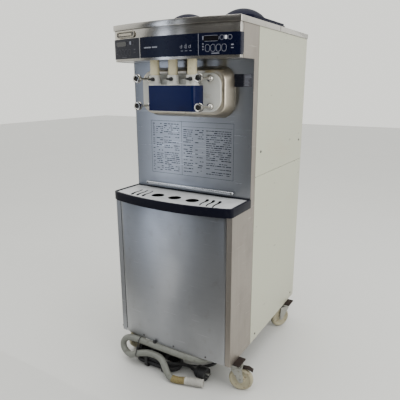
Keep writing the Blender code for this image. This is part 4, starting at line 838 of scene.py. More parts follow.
class MACHINE_OT_drain_hose(bpy.types.Operator):
    """Adds the drain hose with its ribbed cuff, tie and clip"""

    bl_idname = "machine.drain_hose"
    bl_label = "Drain hose"

    def execute(self, context):
        route = curve_through(HOSE_ROUTE, 8)
        hose = keep(rope("drain_hose_tube", route, HOSE_D, 10), "hose_grey", stands_for=["drain_hose"])
        place, length = span(HOSE_ROUTE[-1], CUFF_END)
        r = HOSE_D / 2
        profile = [(r - 0.0045, -0.004), (r + 0.0022, -0.004), (r + 0.0030, 0.0)]
        ribs = 8
        for i in range(ribs):
            z = 0.003 + (length - 0.010) * i / ribs
            pitch = (length - 0.010) / ribs
            profile += [(r + 0.0033, z), (r + 0.0033, z + pitch * 0.52), (r + 0.0008, z + pitch * 0.60), (r + 0.0008, z + pitch * 0.93)]
        profile += [(r + 0.0030, length - 0.005), (r + 0.0030, length), (r - 0.0025, length), (r - 0.0045, length - 0.002), (r - 0.0045, -0.004)]
        cuff = keep(smooth(turned("hose_cuff", profile, place, 40)), "cuff_grey")
        stain = keep(rope("hose_stained_band", route[-22:], HOSE_D + 0.0016, 10), "stain_brown")
        legs = ((-0.351, 0.1162), (-0.3757, 0.0640))
        tie = keep(smooth(soften(band("hose_tie", legs, r + 0.0004, -0.1665, 0.0045, 0.0014), 0.0004)), "black_plastic")
        knot = block("hose_tie_lock", (-0.1672, -0.3725, 0.0905), (-0.1612, -0.3632, 0.0965), 0.0012)
        keep(smooth(knot), "black_plastic")
        clip = block("hose_clip", (-0.0930, -0.3570, 0.1265), (-0.0790, -0.3495, 0.1420), 0.0022)
        keep(smooth(clip), "black_plastic")
        nozzle = [(0.006, -0.014), (0.0155, -0.014), (0.0168, -0.012), (0.0168, 0.010), (0.0150, 0.013), (0.006, 0.013), (0.006, -0.014)]
        keep(smooth(turned("hose_collar", nozzle, facing("-Y", HOSE_ROUTE[0]), 32)), "galvanised")
        return {"FINISHED"}


class MACHINE_OT_mains_cable(bpy.types.Operator):
    """Adds the mains cable in its hank, with its plug, strap and gland"""

    bl_idname = "machine.mains_cable"
    bl_label = "Mains cable"

    def execute(self, context):
        turns = hank_path()
        route = [*curve_through([*CORD_ROUTE[:-1], CORD_ROUTE[-1], turns[2]], 5)[:-1], *turns[3:]]
        tail = curve_through([turns[-4], turns[-1], *CORD_TAIL_ROUTE], 5)
        route += tail[6:]
        cable = rope("mains_cable", route, CORD_D, 8)
        keep(cable, "cable_black", stands_for=["power_cord", "power_cord_hank", "power_cord_tail"])

        place, length = span(PLUG_FROM, PLUG_TO)
        r = PLUG_R
        profile = [
            (0.0, 0.0), (0.0084, 0.0), (0.0092, 0.002), (0.0100, 0.014), (0.0135, 0.019), (0.0200, 0.026),
            (r * 0.90, 0.034), (r * 0.94, 0.038), (r * 0.94, 0.046), (r * 0.90, 0.048), (r * 0.90, 0.050),
            (r, 0.053), (r, length - 0.005), (r * 0.97, length - 0.001), (r * 0.90, length), (r * 0.86, length - 0.003), (0.0, length - 0.003),
        ]
        body = smooth(turned("plug_body", profile, place, 40))
        keep(body, "black_plastic", stands_for=["power_plug"])
        blades = []
        for i, (dx, dy) in enumerate(((0.0105, 0.0), (-0.0052, 0.0091), (-0.0052, -0.0091))):
            blade = block(f"blade_{i}", (-0.0008, -0.0032, 0.0), (0.0008, 0.0032, 0.019), 0.0006)
            blade.matrix_world = place @ Matrix.Translation((dx, dy, length - 0.004)) @ Matrix.Rotation(radians(120 * i), 4, "Z")
            blades.append(settle(blade))
        pins = keep(smooth(joined("plug_blades", blades)), "worn_zinc")

        relief = [(0.0072, 0.0), (0.0105, 0.0), (0.0110, 0.004), (0.0098, 0.010), (0.0092, 0.026), (0.0080, 0.034), (0.0072, 0.034), (0.0072, 0.0)]
        down = Matrix.Translation(CORD_ROUTE[0]) @ Matrix.Rotation(pi, 4, "X") @ Matrix.Translation((0, 0, -0.006))
        sleeve = keep(smooth(turned("cable_relief", relief, down, 28)), "black_plastic")

        x, y = HANK_CENTRE
        outline = rounded((y, 0.0315), (HANK_FOLD_R + 0.0115, 0.0308), 0.012, 6)
        straps = []
        for i, at in enumerate((x - 0.045, x + 0.046)):
            ring = line(f"strap_{i}", [(at, a, b) for a, b in [*outline, outline[0]]])
            bpy.ops.mesh.select_all(action="SELECT")
            bpy.ops.mesh.extrude_region_move(TRANSFORM_OT_translate={"value": (0.016, 0, 0)})
            outward()
            settle(ring)
            straps.append(modify(ring, "SOLIDIFY", thickness=0.0014, offset=0.0))
        strap = keep(smooth(joined("hank_straps", straps)), "black_plastic")
        return {"FINISHED"}


# ---- front and head --------------------------------------------------------------------------
FRONT = {"half": 0.251, "edge_y": -0.339, "rise": 0.010}
HEAD = {"half": 0.275, "edge_y": -0.300, "rise": 0.034}
BAND = {"half": 0.2758, "edge_y": -0.3008, "rise": 0.034}


def front_corner(points, radius, steps=6):
    """Round the first and last corner of a bowed path whose ends turn back along Y."""
    start, end = points[0], points[-1]
    left = arc((start[0] + radius, start[1] + radius), radius, 180, 255, steps)
    right = arc((end[0] - radius, end[1] + radius), radius, 285, 360, steps)
    inner = [p for p in points if abs(p[0]) < abs(start[0]) - radius * 1.1]
    return left + inner + right


class MACHINE_OT_front_panel(bpy.types.Operator):
    """Adds the bowed lower front panel with its screws"""

    bl_idname = "machine.front_panel"
    bl_label = "Front panel"

    def execute(self, context):
        half = FRONT["half"] - 0.00075
        front = front_corner(bow(half, FRONT["edge_y"] + 0.00075, FRONT["rise"], 48), 0.0012, 4)
        path = [(-half, PANEL_HIGH.y), *front, (half, PANEL_HIGH.y)]
        height = PANEL_HIGH.z - PANEL_LOW.z
        panel = fence("front_panel_sheet", flat(path, PANEL_LOW.z), (0, 0, height), 0.0015)
        keep(smooth(soften(panel, 0.0004)), "front_steel", stands_for=["lower_front_panel"])
        places = []
        for x in (-0.150, 0.010, 0.165):
            y, _ = bow_at(x, FRONT["half"], FRONT["edge_y"], FRONT["rise"])
            places.append((x, y - 0.0002, PANEL_LOW.z + 0.012))
        screws("front_panel_screws", places, "-Y", sizes().screw * 0.7)
        return {"FINISHED"}


def on_band(obj, x, z, lift=0.0012):
    """Moves a flat thing drawn about the origin in XZ on to the bowed control film."""
    y, lean = bow_at(x, BAND["half"] + 0.0005, BAND["edge_y"] - 0.0005, BAND["rise"])
    obj.matrix_world = Matrix.Translation((x, y - lift + 0.0010, z)) @ lean
    return settle(obj)


def tile(name, half, corner, thickness=0.0005, steps=4):
    """A thin plate with round corners, drawn about the origin in XZ."""
    outline = rounded((0.0, 0.0), half, corner, steps)
    return slab(name, upright(outline, 0.0), (0, -thickness, 0))


def ring_tile(name, half, width, thickness=0.0005):
    """An oval outline of a key, drawn about the origin in XZ."""
    ring = tile(name, half, min(half) * 0.96, thickness, 7)
    inner = tile(name + "_in", (half[0] - width, half[1] - width), (min(half) - width) * 0.96, thickness * 4, 7)
    inner.matrix_world = Matrix.Translation((0, thickness * 1.5, 0))
    return boolean(ring, "DIFFERENCE", [settle(inner)])


class MACHINE_OT_head(bpy.types.Operator):
    """Adds the bowed fascia, the control film with its keys, and the blank badge"""

    bl_idname = "machine.head"
    bl_label = "Head"

    def execute(self, context):
        half = HEAD["half"] - 0.00075
        front = front_corner(bow(half, HEAD["edge_y"] + 0.00075, HEAD["rise"], 64), 0.005)
        path = [(-half, HEAD_HIGH.y), *front, (half, HEAD_HIGH.y)]
        fascia = fence("fascia_sheet", flat(path, HEAD_LOW.z), (0, 0, HEAD_HIGH.z - HEAD_LOW.z), 0.0015)
        keep(smooth(soften(fascia, 0.0004)), "head_steel", stands_for=["head_fascia"])
        self.films()
        for side, look in ((1, "print_pale"), (-1, "print_grey")):
            self.keys(side, look)
        self.middle()
        self.badge()
        return {"FINISHED"}

    def films(self):
        half = BAND["half"]
        front = front_corner(bow(half, BAND["edge_y"], BAND["rise"], 80), 0.0055)
        whole = [(-half, BAND_HIGH.y), *front, (half, BAND_HIGH.y)]
        parts = (
            ("film_left", [p for p in whole if p[0] < -0.1285], "worn_film"),
            ("film_right", [p for p in whole if p[0] > -0.1280], "navy_film"),
        )
        for name, path, look in parts:
            film = line(name, flat(path, BAND_LOW.z))
            bpy.ops.mesh.select_all(action="SELECT")
            bpy.ops.mesh.extrude_region_move(TRANSFORM_OT_translate={"value": (0, 0, BAND_HIGH.z - BAND_LOW.z)})
            bpy.ops.mesh.select_mode(type="VERT")
            bpy.ops.mesh.select_all(action="DESELECT")
            shape = bmesh.from_edit_mesh(film.data)
            for vertex in shape.verts:
                low = vertex.co.z + film.location.z < BAND_LOW.z + 0.001
                vertex.select_set(low and vertex.co.y + film.location.y > BAND_HIGH.y - 0.001)
            shape.select_flush_mode()
            bmesh.update_edit_mesh(film.data)
            bpy.ops.mesh.bevel(offset=0.012, segments=6, affect="VERTICES")
            bpy.ops.mesh.select_all(action="SELECT")
            bpy.ops.mesh.normals_make_consistent(inside=False)
            settle(film)
            modify(film, "SOLIDIFY", thickness=0.0010, offset=0.0)
            keep(smooth(film), look, stands_for=["control_band"])
        for i, x in enumerate((-0.1283, 0.1280)):
            bar = on_band(tile(f"film_divider_{i}", (0.0007, 0.0355), 0.0005, 0.0006), x, (BAND_LOW.z + BAND_HIGH.z) / 2)
            keep(bar, "print_pale")

    def keys(self, side, look):
        tag = "right" if side > 0 else "left"
        shift = 0.0 if side > 0 else -0.403
        middle = (BAND_LOW.z + BAND_HIGH.z) / 2
        glass = on_band(tile(f"display_{tag}", (0.0275, 0.0080), 0.0015), 0.1745 + shift, middle + 0.0180, 0.0015)
        keep(glass, "display_glass")
        frame_ring = ring_tile(f"display_frame_{tag}", (0.0290, 0.0095), 0.0010, 0.0004)
        parts = [on_band(frame_ring, 0.1745 + shift, middle + 0.0180, 0.0012)]
        for x in (0.2120, 0.2400):
            ring = ring_tile(f"lamp_{tag}_{x}", (0.0072, 0.0078), 0.0011)
            parts.append(on_band(ring, x + shift, middle + 0.0200))
        for i in range(4):
            ring = ring_tile(f"key_{tag}_{i}", (0.0085, 0.0120), 0.0010)
            parts.append(on_band(ring, 0.1615 + 0.0195 * i + shift, middle - 0.0130))
        for x, z, w, h in (
            (0.1450, 0.0010, 0.0018, 0.0022), (0.1450, -0.0080, 0.0018, 0.0022), (0.1450, -0.0170, 0.0018, 0.0022),
            (0.2480, -0.0040, 0.0045, 0.0020), (0.2480, -0.0140, 0.0045, 0.0012),
            (0.1900, -0.0300, 0.0140, 0.0014), (0.1450, 0.0200, 0.0020, 0.0060),
        ):
            parts.append(on_band(tile(f"mark_{tag}_{x}_{z}", (w, h), 0.0004), x + shift, middle + z))
        keep(joined(f"key_outlines_{tag}", parts), look)
        mark = on_band(tile(f"lamp_mark_{tag}", (0.0042, 0.0060), 0.0015), 0.2260 + shift, middle + 0.0200)
        keep(mark, "print_white" if side > 0 else "print_pale")

    def middle(self):
        middle = (BAND_LOW.z + BAND_HIGH.z) / 2
        bars = [on_band(tile("name_bar", (0.0170, 0.0022), 0.0008), -0.088, middle - 0.0010)]
        bars.append(on_band(tile("name_bar_end", (0.0120, 0.0022), 0.0008), -0.054, middle - 0.0010))
        for i, x in enumerate((0.064, 0.081, 0.098)):
            bars.append(on_band(tile(f"icon_{i}", (0.0009, 0.0075 if i == 1 else 0.0045), 0.0004), x, middle - 0.0040))
            bars.append(on_band(ring_tile(f"icon_ring_{i}", (0.0042, 0.0042), 0.0009), x - 0.0035, middle - 0.0060))
            bars.append(on_band(tile(f"icon_bar_{i}", (0.0045, 0.0008), 0.0004), x, middle - 0.0190))
        keep(joined("middle_marks", bars), "print_pale")

    def badge(self):
        z = (BAND_HIGH.z + HEAD_HIGH.z) / 2 - 0.0005
        plate = soften(tile("badge_plate", (0.0520, 0.0118), 0.0112, 0.0022, 8), 0.0007)
        rim = boolean(plate, "DIFFERENCE", [self.shifted(tile("badge_cut", (0.0490, 0.0090), 0.0088, 0.004, 8))])
        keep(smooth(on_band(rim, -0.2025, z, 0.0008)), "badge_metal")
        field = on_band(tile("badge_field", (0.0492, 0.0092), 0.0090, 0.0012, 8), -0.2025, z, 0.0008)
        keep(smooth(field), "print_grey")
        bar = on_band(tile("badge_bar", (0.0370, 0.0040), 0.0014, 0.0006), -0.2045, z, 0.0018)
        keep(bar, "badge_metal")

    def shifted(self, obj):
        obj.matrix_world = Matrix.Translation((0, -0.0012, 0))
        return settle(obj)


# ---- top -------------------------------------------------------------------------------------
class MACHINE_OT_top_cover(bpy.types.Operator):
    """Adds the folded top cover with its two hopper openings"""

    bl_idname = "machine.top_cover"
    bl_label = "Top cover"

    def execute(self, context):
        half = COVER_HIGH.x
        front = front_corner(bow(half, -0.303, COVER_LOW.y * -1 - 0.303, 64), 0.006)
        outline = [*front, (half, COVER_HIGH.y), (-half, COVER_HIGH.y)]
        cover = slab("cover_sheet", flat(outline, COVER_LOW.z), (0, 0, COVER_HIGH.z - COVER_LOW.z))
        cuts = []
        for side in (-1, 1):
            hole = rounded((side * HOPPER_X, HOPPER_Y), (0.101, 0.163), 0.037, 8)
            cuts.append(slab(f"cover_hole_{side + 1}", flat(hole, COVER_LOW.z - 0.01), (0, 0, 0.05)))
        boolean(cover, "DIFFERENCE", cuts)
        keep(smooth(soften(cover, 0.0016)), "head_steel", stands_for=["top_cover"])
        seams = [
            block(f"seam_{s + 1}", (s * half - 0.0005, 0.0455, COVER_LOW.z + 0.001), (s * half + 0.0005, 0.0475, COVER_HIGH.z - 0.0010), 0.0003)
            for s in (-1, 1)
        ]
        keep(joined("cover_seams", seams), "black_plastic")
        return {"FINISHED"}


class MACHINE_OT_lids(bpy.types.Operator):
    """Adds the two lift-off hopper lids with their domes"""

    bl_idname = "machine.lids"
    bl_label = "Hopper lids"

    def execute(self, context):
        low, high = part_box("hopper_lid_left")
        base, skirt = low.z, 0.020
        for side, tag in ((-1, "left"), (1, "right")):
            at = (side * HOPPER_X, HOPPER_Y)
            plate = slab(f"lid_{tag}", flat(rounded(at, (0.121, 0.184), 0.040, 12), base), (0, 0, skirt * 0.55))
            edit(plate, "FACE", False)
            pick(plate, lambda face: face.normal.z > 0.9)
            bpy.ops.mesh.inset(thickness=0.0050)
            bpy.ops.mesh.extrude_region_move(TRANSFORM_OT_translate={"value": (0, 0, skirt * 0.45)})
            bpy.ops.mesh.inset(thickness=0.0120)
            bpy.ops.mesh.extrude_region_move(TRANSFORM_OT_translate={"value": (0, 0, -0.0025)})
            only(plate)
            soften(plate, 0.0020, 3)
            top = base + skirt - 0.0025
            r, rise = sizes().dome, high.z - top
            ball = (r * r + rise * rise) / (2 * rise)
            reach = acos((ball - rise) / ball)
            steps = 14
            profile = [(ball * sin(reach * i / steps), high.z - ball + ball * cos(reach * i / steps)) for i in range(steps + 1)]
            profile += [(r + 0.0045, top + 0.0006), (r + 0.0045, top - 0.0030), (0.0, top - 0.0030)]
            dome = turned(f"lid_dome_{tag}", profile, Matrix.Translation((*at, 0.0)), 64)
            lid = joined(f"hopper_lid_shell_{tag}", [plate, dome])
            keep(smooth(lid), "lid_plastic", f"lid_{tag}", [f"hopper_lid_{tag}"])
        return {"FINISHED"}


# ---- door ------------------------------------------------------------------------------------
class MACHINE_OT_door(bpy.types.Operator):
    """Adds the collar, the white door moulding with its sleeves, and the sleeve pins"""

    bl_idname = "machine.door"
    bl_label = "Dispensing door"

    def execute(self, context):
        back, depth = COLLAR_HIGH.y, COLLAR_HIGH.y - COLLAR_LOW.y
        collar = slab("collar_frame", upright(rounded((0, DOOR_Z), (0.200, 0.096), 0.052, 12), back), (0, -depth, 0))
        edit(collar, "FACE", False)
        pick(collar, lambda face: face.normal.y < -0.9)
        bpy.ops.transform.resize(value=(0.187 / 0.200, 1.0, 0.081 / 0.096), center_override=(0, COLLAR_LOW.y, DOOR_Z))
        only(collar)
        soften(collar, 0.0055, 4, 50)
        window = slab("collar_window", upright(rounded((0, DOOR_Z), (0.160, 0.056), 0.034, 8), back + 0.01), (0, -0.09, 0))
        boolean(collar, "DIFFERENCE", [window])
        keep(smooth(collar, 40), "collar_steel", stands_for=["door_collar"])

        plate = slab("door_moulding", upright(rounded((0, DOOR_Z), (0.176, 0.070), 0.045, 12), DOOR_HIGH.y), (0, DOOR_FRONT - DOOR_HIGH.y, 0))
        soften(plate, 0.0032, 3, 50)
        bottom, top = DOOR_Z - 0.058, DOOR_Z + 0.028
        body = slab("door_block", flat(rounded((0, -0.2835), (0.1005, 0.0345), 0.009, 6), bottom), (0, 0, top - bottom))
        soften(body, 0.0028, 3, 50)
        web = block("door_web", (-0.083, PLUNGER_Y + 0.0175, top - 0.002), (0.083, DOOR_FRONT + 0.003, DOOR_Z + 0.0495), 0.004, 3)
        added = [body, web]
        cuts = []
        for tag, x in SPOUTS.items():
            z = DOOR_Z
            sleeve = [
                (0.0125, z + 0.0255), (0.0125, z + 0.031), (0.0180, z + 0.031), (0.0180, z + 0.0612), (0.0190, z + 0.062),
                (0.0206, z + 0.062), (0.0215, z + 0.0610), (0.0217, z + 0.036), (0.0228, z + 0.031), (0.0258, z + 0.0277),
                (0.0262, z + 0.0255), (0.0125, z + 0.0255),
            ]
            at = Matrix.Translation((x, PLUNGER_Y, 0.0))
            added.append(turned(f"sleeve_{tag}", sleeve, at, 40))
            spout = [(0.0, DOOR_LOW.z), (0.0140, DOOR_LOW.z), (0.0152, DOOR_LOW.z + 0.0015), (0.0165, bottom + 0.001), (0.0, bottom + 0.001)]
            added.append(turned(f"spout_{tag}", spout, at, 32))
            bore = [(0.0, z - 0.08), (0.0095, z - 0.08), (0.0095, z - 0.050), (0.0125, z - 0.045), (0.0125, z + 0.035), (0.0, z + 0.035)]
            cuts.append(turned(f"bore_{tag}", bore, at, 32))
        boolean(plate, "UNION", added)
        boolean(plate, "DIFFERENCE", cuts)
        keep(smooth(plate, 36), "white_plastic", stands_for=["dispensing_door"])

        pin = [
            (0.0, 0.0), (0.0012, 0.0006), (0.0040, 0.0090), (0.0046, 0.0140), (0.0046, 0.0170), (0.0066, 0.0180),
            (0.0070, 0.0200), (0.0070, 0.0260), (0.0058, 0.0285), (0.0, 0.0290),
        ]
        pins = [
            turned(f"pin_{tag}", pin, facing("X", (x - 0.0155, PLUNGER_Y - 0.0255, DOOR_Z + 0.048)), 24)
            for tag, x in SPOUTS.items()
        ]
        keep(smooth(joined("sleeve_pins", pins)), "black_plastic")
        return {"FINISHED"}


class MACHINE_OT_plungers(bpy.types.Operator):
    """Adds the three cream draw plungers"""

    bl_idname = "machine.plungers"
    bl_label = "Draw plungers"

    def execute(self, context):
        low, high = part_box("draw_plunger_centre")
        step = DOOR_Z + 0.0313
        profile = [
            (0.0, high.z), (0.0150, high.z), (0.0171, high.z - 0.0006), (0.0175, high.z - 0.002),
            (0.0175, step + 0.034), (0.0168, step + 0.0335), (0.0168, step + 0.0315), (0.0175, step + 0.031),
            (0.0175, step + 0.0008), (0.0168, step), (0.0120, step), (0.0120, low.z + 0.004), (0.0080, low.z), (0.0, low.z),
        ]
        for tag, x in SPOUTS.items():
            plunger = turned(f"plunger_{tag}_rod", profile, Matrix.Translation((x, PLUNGER_Y, 0.0)), 48)
            keep(smooth(plunger, 50), "cream_plastic", f"plunger_{tag}", [f"draw_plunger_{tag}"])
        return {"FINISHED"}


class MACHINE_OT_spout_cover(bpy.types.Operator):
    """Adds the blue cover over the spout block"""

    bl_idname = "machine.spout_cover"
    bl_label = "Spout cover"

    def execute(self, context):
        low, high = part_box("spout_cover")
        half, front, r = high.x - 0.001, low.y + 0.001, 0.010
        path = [(-half, high.y), *arc((-half + r, front + r), r, 180, 270, 8), *arc((half - r, front + r), r, 270, 360, 8), (half, high.y)]
        cover = fence("cover_shell", flat(path, low.z), (0, 0, high.z - low.z), 0.002)
        keep(smooth(soften(cover, 0.0007, 2, 50)), "blue_plastic", "cover", ["spout_cover"])
        return {"FINISHED"}


class MACHINE_OT_knobs(bpy.types.Operator):
    """Adds the four hand knobs on their stems"""

    bl_idname = "machine.knobs"
    bl_label = "Door knobs"

    def execute(self, context):
        end, r = 0.092, 0.0155
        profile = [
            (0.0, end - 0.0075), (0.0078, end - 0.0075), (0.0088, end - 0.0060), (0.0100, end - 0.0010), (0.0112, end),
            (r - 0.0022, end), (r - 0.0004, end - 0.0010), (r, end - 0.0028), (r, end - 0.0065), (r - 0.0012, end - 0.0075),
            (r - 0.0012, end - 0.0100), (r, end - 0.0110), (r, end - 0.0150), (r - 0.0012, end - 0.0172),
            (r * 0.62, end - 0.0215), (0.0062, end - 0.0245), (0.0045, end - 0.0280), (0.0045, 0.0230),
            (0.0060, 0.0215), (0.0060, 0.0165), (0.0088, 0.0150), (0.0116, 0.0115), (0.0125, 0.0100), (0.0125, 0.0006), (0.0119, 0.0), (0.0, 0.0),
        ]
        cap = [(0.0, end - 0.0050), (0.0030, end - 0.0050), (0.0070, end - 0.0058), (0.0076, end - 0.0076), (0.0, end - 0.0076)]
        for level, z in (("upper", DOOR_Z + 0.050), ("lower", DOOR_Z - 0.050)):
            for tag, x in (("left", -0.136), ("right", 0.136)):
                at = facing("-Y", (x, DOOR_FRONT, z))
                name, body = f"{level}_{tag}", f"knob_{level}_{tag}"
                knob = smooth(turned(f"knob_{name}_body", profile, at, 40))
                keep(knob, "knob_chrome", body, [f"door_knob_{name}"])
                keep(smooth(turned(f"knob_{name}_cap", cap, at, 24)), "black_plastic", body)
        return {"FINISHED"}


# ---- serving space ---------------------------------------------------------------------------
def tray_outline(inset, steps=48):
    half = TRAY_HIGH.x - inset
    corner = max(0.0040, 0.018 - inset)
    front = bow(half, -0.352 + inset, 0.040, steps)
    back = TRAY_HIGH.y - inset
    return [*front_corner(front, corner), (half, back), (-half, back)]


class MACHINE_OT_tray(bpy.types.Operator):
    """Adds the dark drip tray and its white drip plate"""

    bl_idname = "machine.tray"
    bl_label = "Drip tray"

    def execute(self, context):
        tray = slab("tray_rim", flat(tray_outline(0.0), TRAY_LOW.z), (0, 0, TRAY_HIGH.z - TRAY_LOW.z))
        seat = slab("tray_seat", flat(tray_outline(0.010), PLATE_LOW.z - 0.0003), (0, 0, 0.02))
        basin = slab("tray_basin", flat(tray_outline(0.016), TRAY_LOW.z + 0.004), (0, 0, 0.04))
        boolean(tray, "DIFFERENCE", [seat, basin])
        keep(smooth(soften(tray, 0.0024, 3, 40)), "tray_plastic", "tray", ["drip_tray"])

        plate = slab("drip_plate_sheet", flat(tray_outline(0.011), PLATE_LOW.z), (0, 0, PLATE_HIGH.z - PLATE_LOW.z))
        cuts = []
        for i in (-1, 0, 1):
            hole = arc((0.082 * i, -0.303), 0.0262, 0, 352, 44)
            cuts.append(slab(f"round_hole_{i + 1}", flat(hole, PLATE_LOW.z - 0.01), (0, 0, 0.03)))
        for side in (-1, 1):
            for x in (0.134, 0.162, 0.190):
                cuts.append(slab(f"slot_{side * x}", flat(self.slot(side * x, side), PLATE_LOW.z - 0.01), (0, 0, 0.03)))
        boolean(plate, "DIFFERENCE", cuts)
        keep(smooth(soften(plate, 0.0005, 2, 40)), "plate_enamel", "plate", ["drip_plate"])
        return {"FINISHED"}

    def slot(self, x, thick_end):
        """Outline of one tapering S-shaped slot; thick_end is -1 at the front or 1 at the back."""
        steps, left, right = 16, [], []
        for i in range(steps + 1):
            share = i / steps
            y = -0.303 + (share - 0.5) * 0.096
            middle = x + 0.004 * sin((share - 0.5) * 2 * pi) - 0.020 * (share - 0.5)
            thick = share if thick_end > 0 else 1 - share
            width = 0.0060 + 0.0080 * sin(thick * pi / 2) ** 2
            width *= (0.45, 0.85)[min(i, steps - i)] if min(i, steps - i) < 2 else 1.0
            left.append((middle - width / 2, y))
            right.append((middle + width / 2, y))
        return right + left[::-1]


class MACHINE_OT_splash(bpy.types.Operator):
    """Adds the gutter bar, the printed instruction rows and the two-tone plate"""

    bl_idname = "machine.splash"
    bl_label = "Splash panel"

    def execute(self, context):
        # The splash panel gets the darkened steel, which paints the shade under the head.
        dress("splash_panel", "shaded_splash_steel")
        low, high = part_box("splash_gutter")
        bar = block("gutter_bar", low, high, 0.0048, 5)
        keep(smooth(bar, 50), "bright_steel", stands_for=["splash_gutter"])
        ends = [(x, low.y + 0.0002, (low.z + high.z) / 2) for x in (low.x + 0.008, high.x - 0.008)]
        screws("gutter_screws", ends, "-Y", 0.0038)
        self.rows()
        self.two_tone()
        return {"FINISHED"}

    def dash(self, x, z, width, height):
        at = (x + width / 2, SPLASH_Y - 0.0001, z)
        bpy.ops.mesh.primitive_plane_add(size=1.0, location=at, rotation=(pi / 2, 0, 0))
        bpy.ops.transform.resize(value=(width, 1.0, height), center_override=at)

    def rows(self):
        """Rows of short dashes in columns, which stand for printed instructions."""
        draw = random.Random(11)
        only()
        bpy.ops.mesh.primitive_plane_add(size=0.001, location=(-0.19, SPLASH_Y - 0.0001, 1.06), rotation=(pi / 2, 0, 0))
        sheet = bpy.context.object
        sheet.name = "instruction_rows"
        settle(sheet)
        edit(sheet)
        for x, z, width, height in (
            (-0.195, 1.072, 0.393, 0.0012), (-0.195, 0.852, 0.393, 0.0012), (-0.195, 0.962, 0.0012, 0.220),
            (0.197, 0.962, 0.0012, 0.220), (-0.041, 0.962, 0.0012, 0.220), (-0.036, 1.052, 0.228, 0.0010),
        ):
            self.dash(x, z, width, height)
        columns = ((-0.186, 0.010, 0.9), (-0.168, 0.034, 0.8), (-0.128, 0.076, 0.75), (-0.032, 0.046, 0.75), (0.024, 0.040, 0.28), (0.076, 0.112, 0.8))
        for left, width, fill in columns:
            z = 1.060 if left < -0.04 else 1.040
            while z > 0.862:
                x = left
                while x < left + width - 0.004:
                    length = min(draw.uniform(0.004, 0.020), left + width - x)
                    if draw.random() < fill:
                        self.dash(x, z, length, draw.uniform(0.0022, 0.0036))
                    x += length + draw.uniform(0.0015, 0.004)
                z -= draw.choice((0.0082, 0.0082, 0.0082, 0.0135))
        only(sheet)
        modify(sheet, "SOLIDIFY", thickness=0.00012, offset=0.0)
        keep(sheet, "print_dark")

    def two_tone(self):
        left, right, low, high = 0.196, 0.268, 1.207, 1.253
        middle = (left + right) / 2 + 0.002
        y = SPLASH_Y
        dark = block("notice_dark", (left, y - 0.0007, low), (middle, y - 0.0001, high), 0.0002)
        keep(dark, "print_dark")
        pale = block("notice_pale", (middle + 0.0002, y - 0.0006, low), (right, y - 0.0001, high), 0.0002)
        keep(pale, "print_grey")
        draw = random.Random(4)
        lines = []
        for i in range(9):
            z = low + 0.005 + i * 0.0045
            width = draw.uniform(0.014, 0.028)
            lines.append(block(f"notice_line_{i}", (middle + 0.004, y - 0.0009, z), (middle + 0.004 + width, y - 0.0006, z + 0.0016)))
        keep(joined("notice_lines", lines), "print_pale")


# ---- casing ----------------------------------------------------------------------------------
class MACHINE_OT_casing(bpy.types.Operator):
    """Finishes the trims, side panels, rear panel, frame and base, and adds their screws"""

    bl_idname = "machine.casing"
    bl_label = "Casing"

    def execute(self, context):
        for side in ("left", "right"):
            dress(f"side_trim_{side}", "left_trim_steel" if side == "left" else "trim_steel", 0.0008)
            dress(f"lower_side_panel_{side}", "ivory_enamel", 0.0007)
            dress(f"upper_side_panel_{side}", "ivory_enamel", 0.0007)
            sign = -1 if side == "left" else 1
            x = sign * 0.2757
            places = []
            for part in ("lower", "upper"):
                low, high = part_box(f"{part}_side_panel_{side}")
                lift = 0.028 if part == "lower" else 0.095
                places += [(x, y, low.z + lift) for y in (low.y + 0.045, high.y - 0.045)]
            screws(f"side_screws_{side}", places, "X" if sign > 0 else "-X", sizes().screw)
        dress("rear_panel", "back_steel")
        dress("head_floor", "inner_steel")
        dress("base_pan", "galvanised")
        dress("chassis_frame", "dark_enamel")
        low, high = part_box("rear_panel")
        places = [(x, high.y + 0.0002, z) for x in (low.x + 0.018, high.x - 0.018) for z in (low.z + 0.03, 0.55, 0.98, high.z - 0.03)]
        screws("rear_screws", places, "Y", sizes().screw)
        return {"FINISHED"}


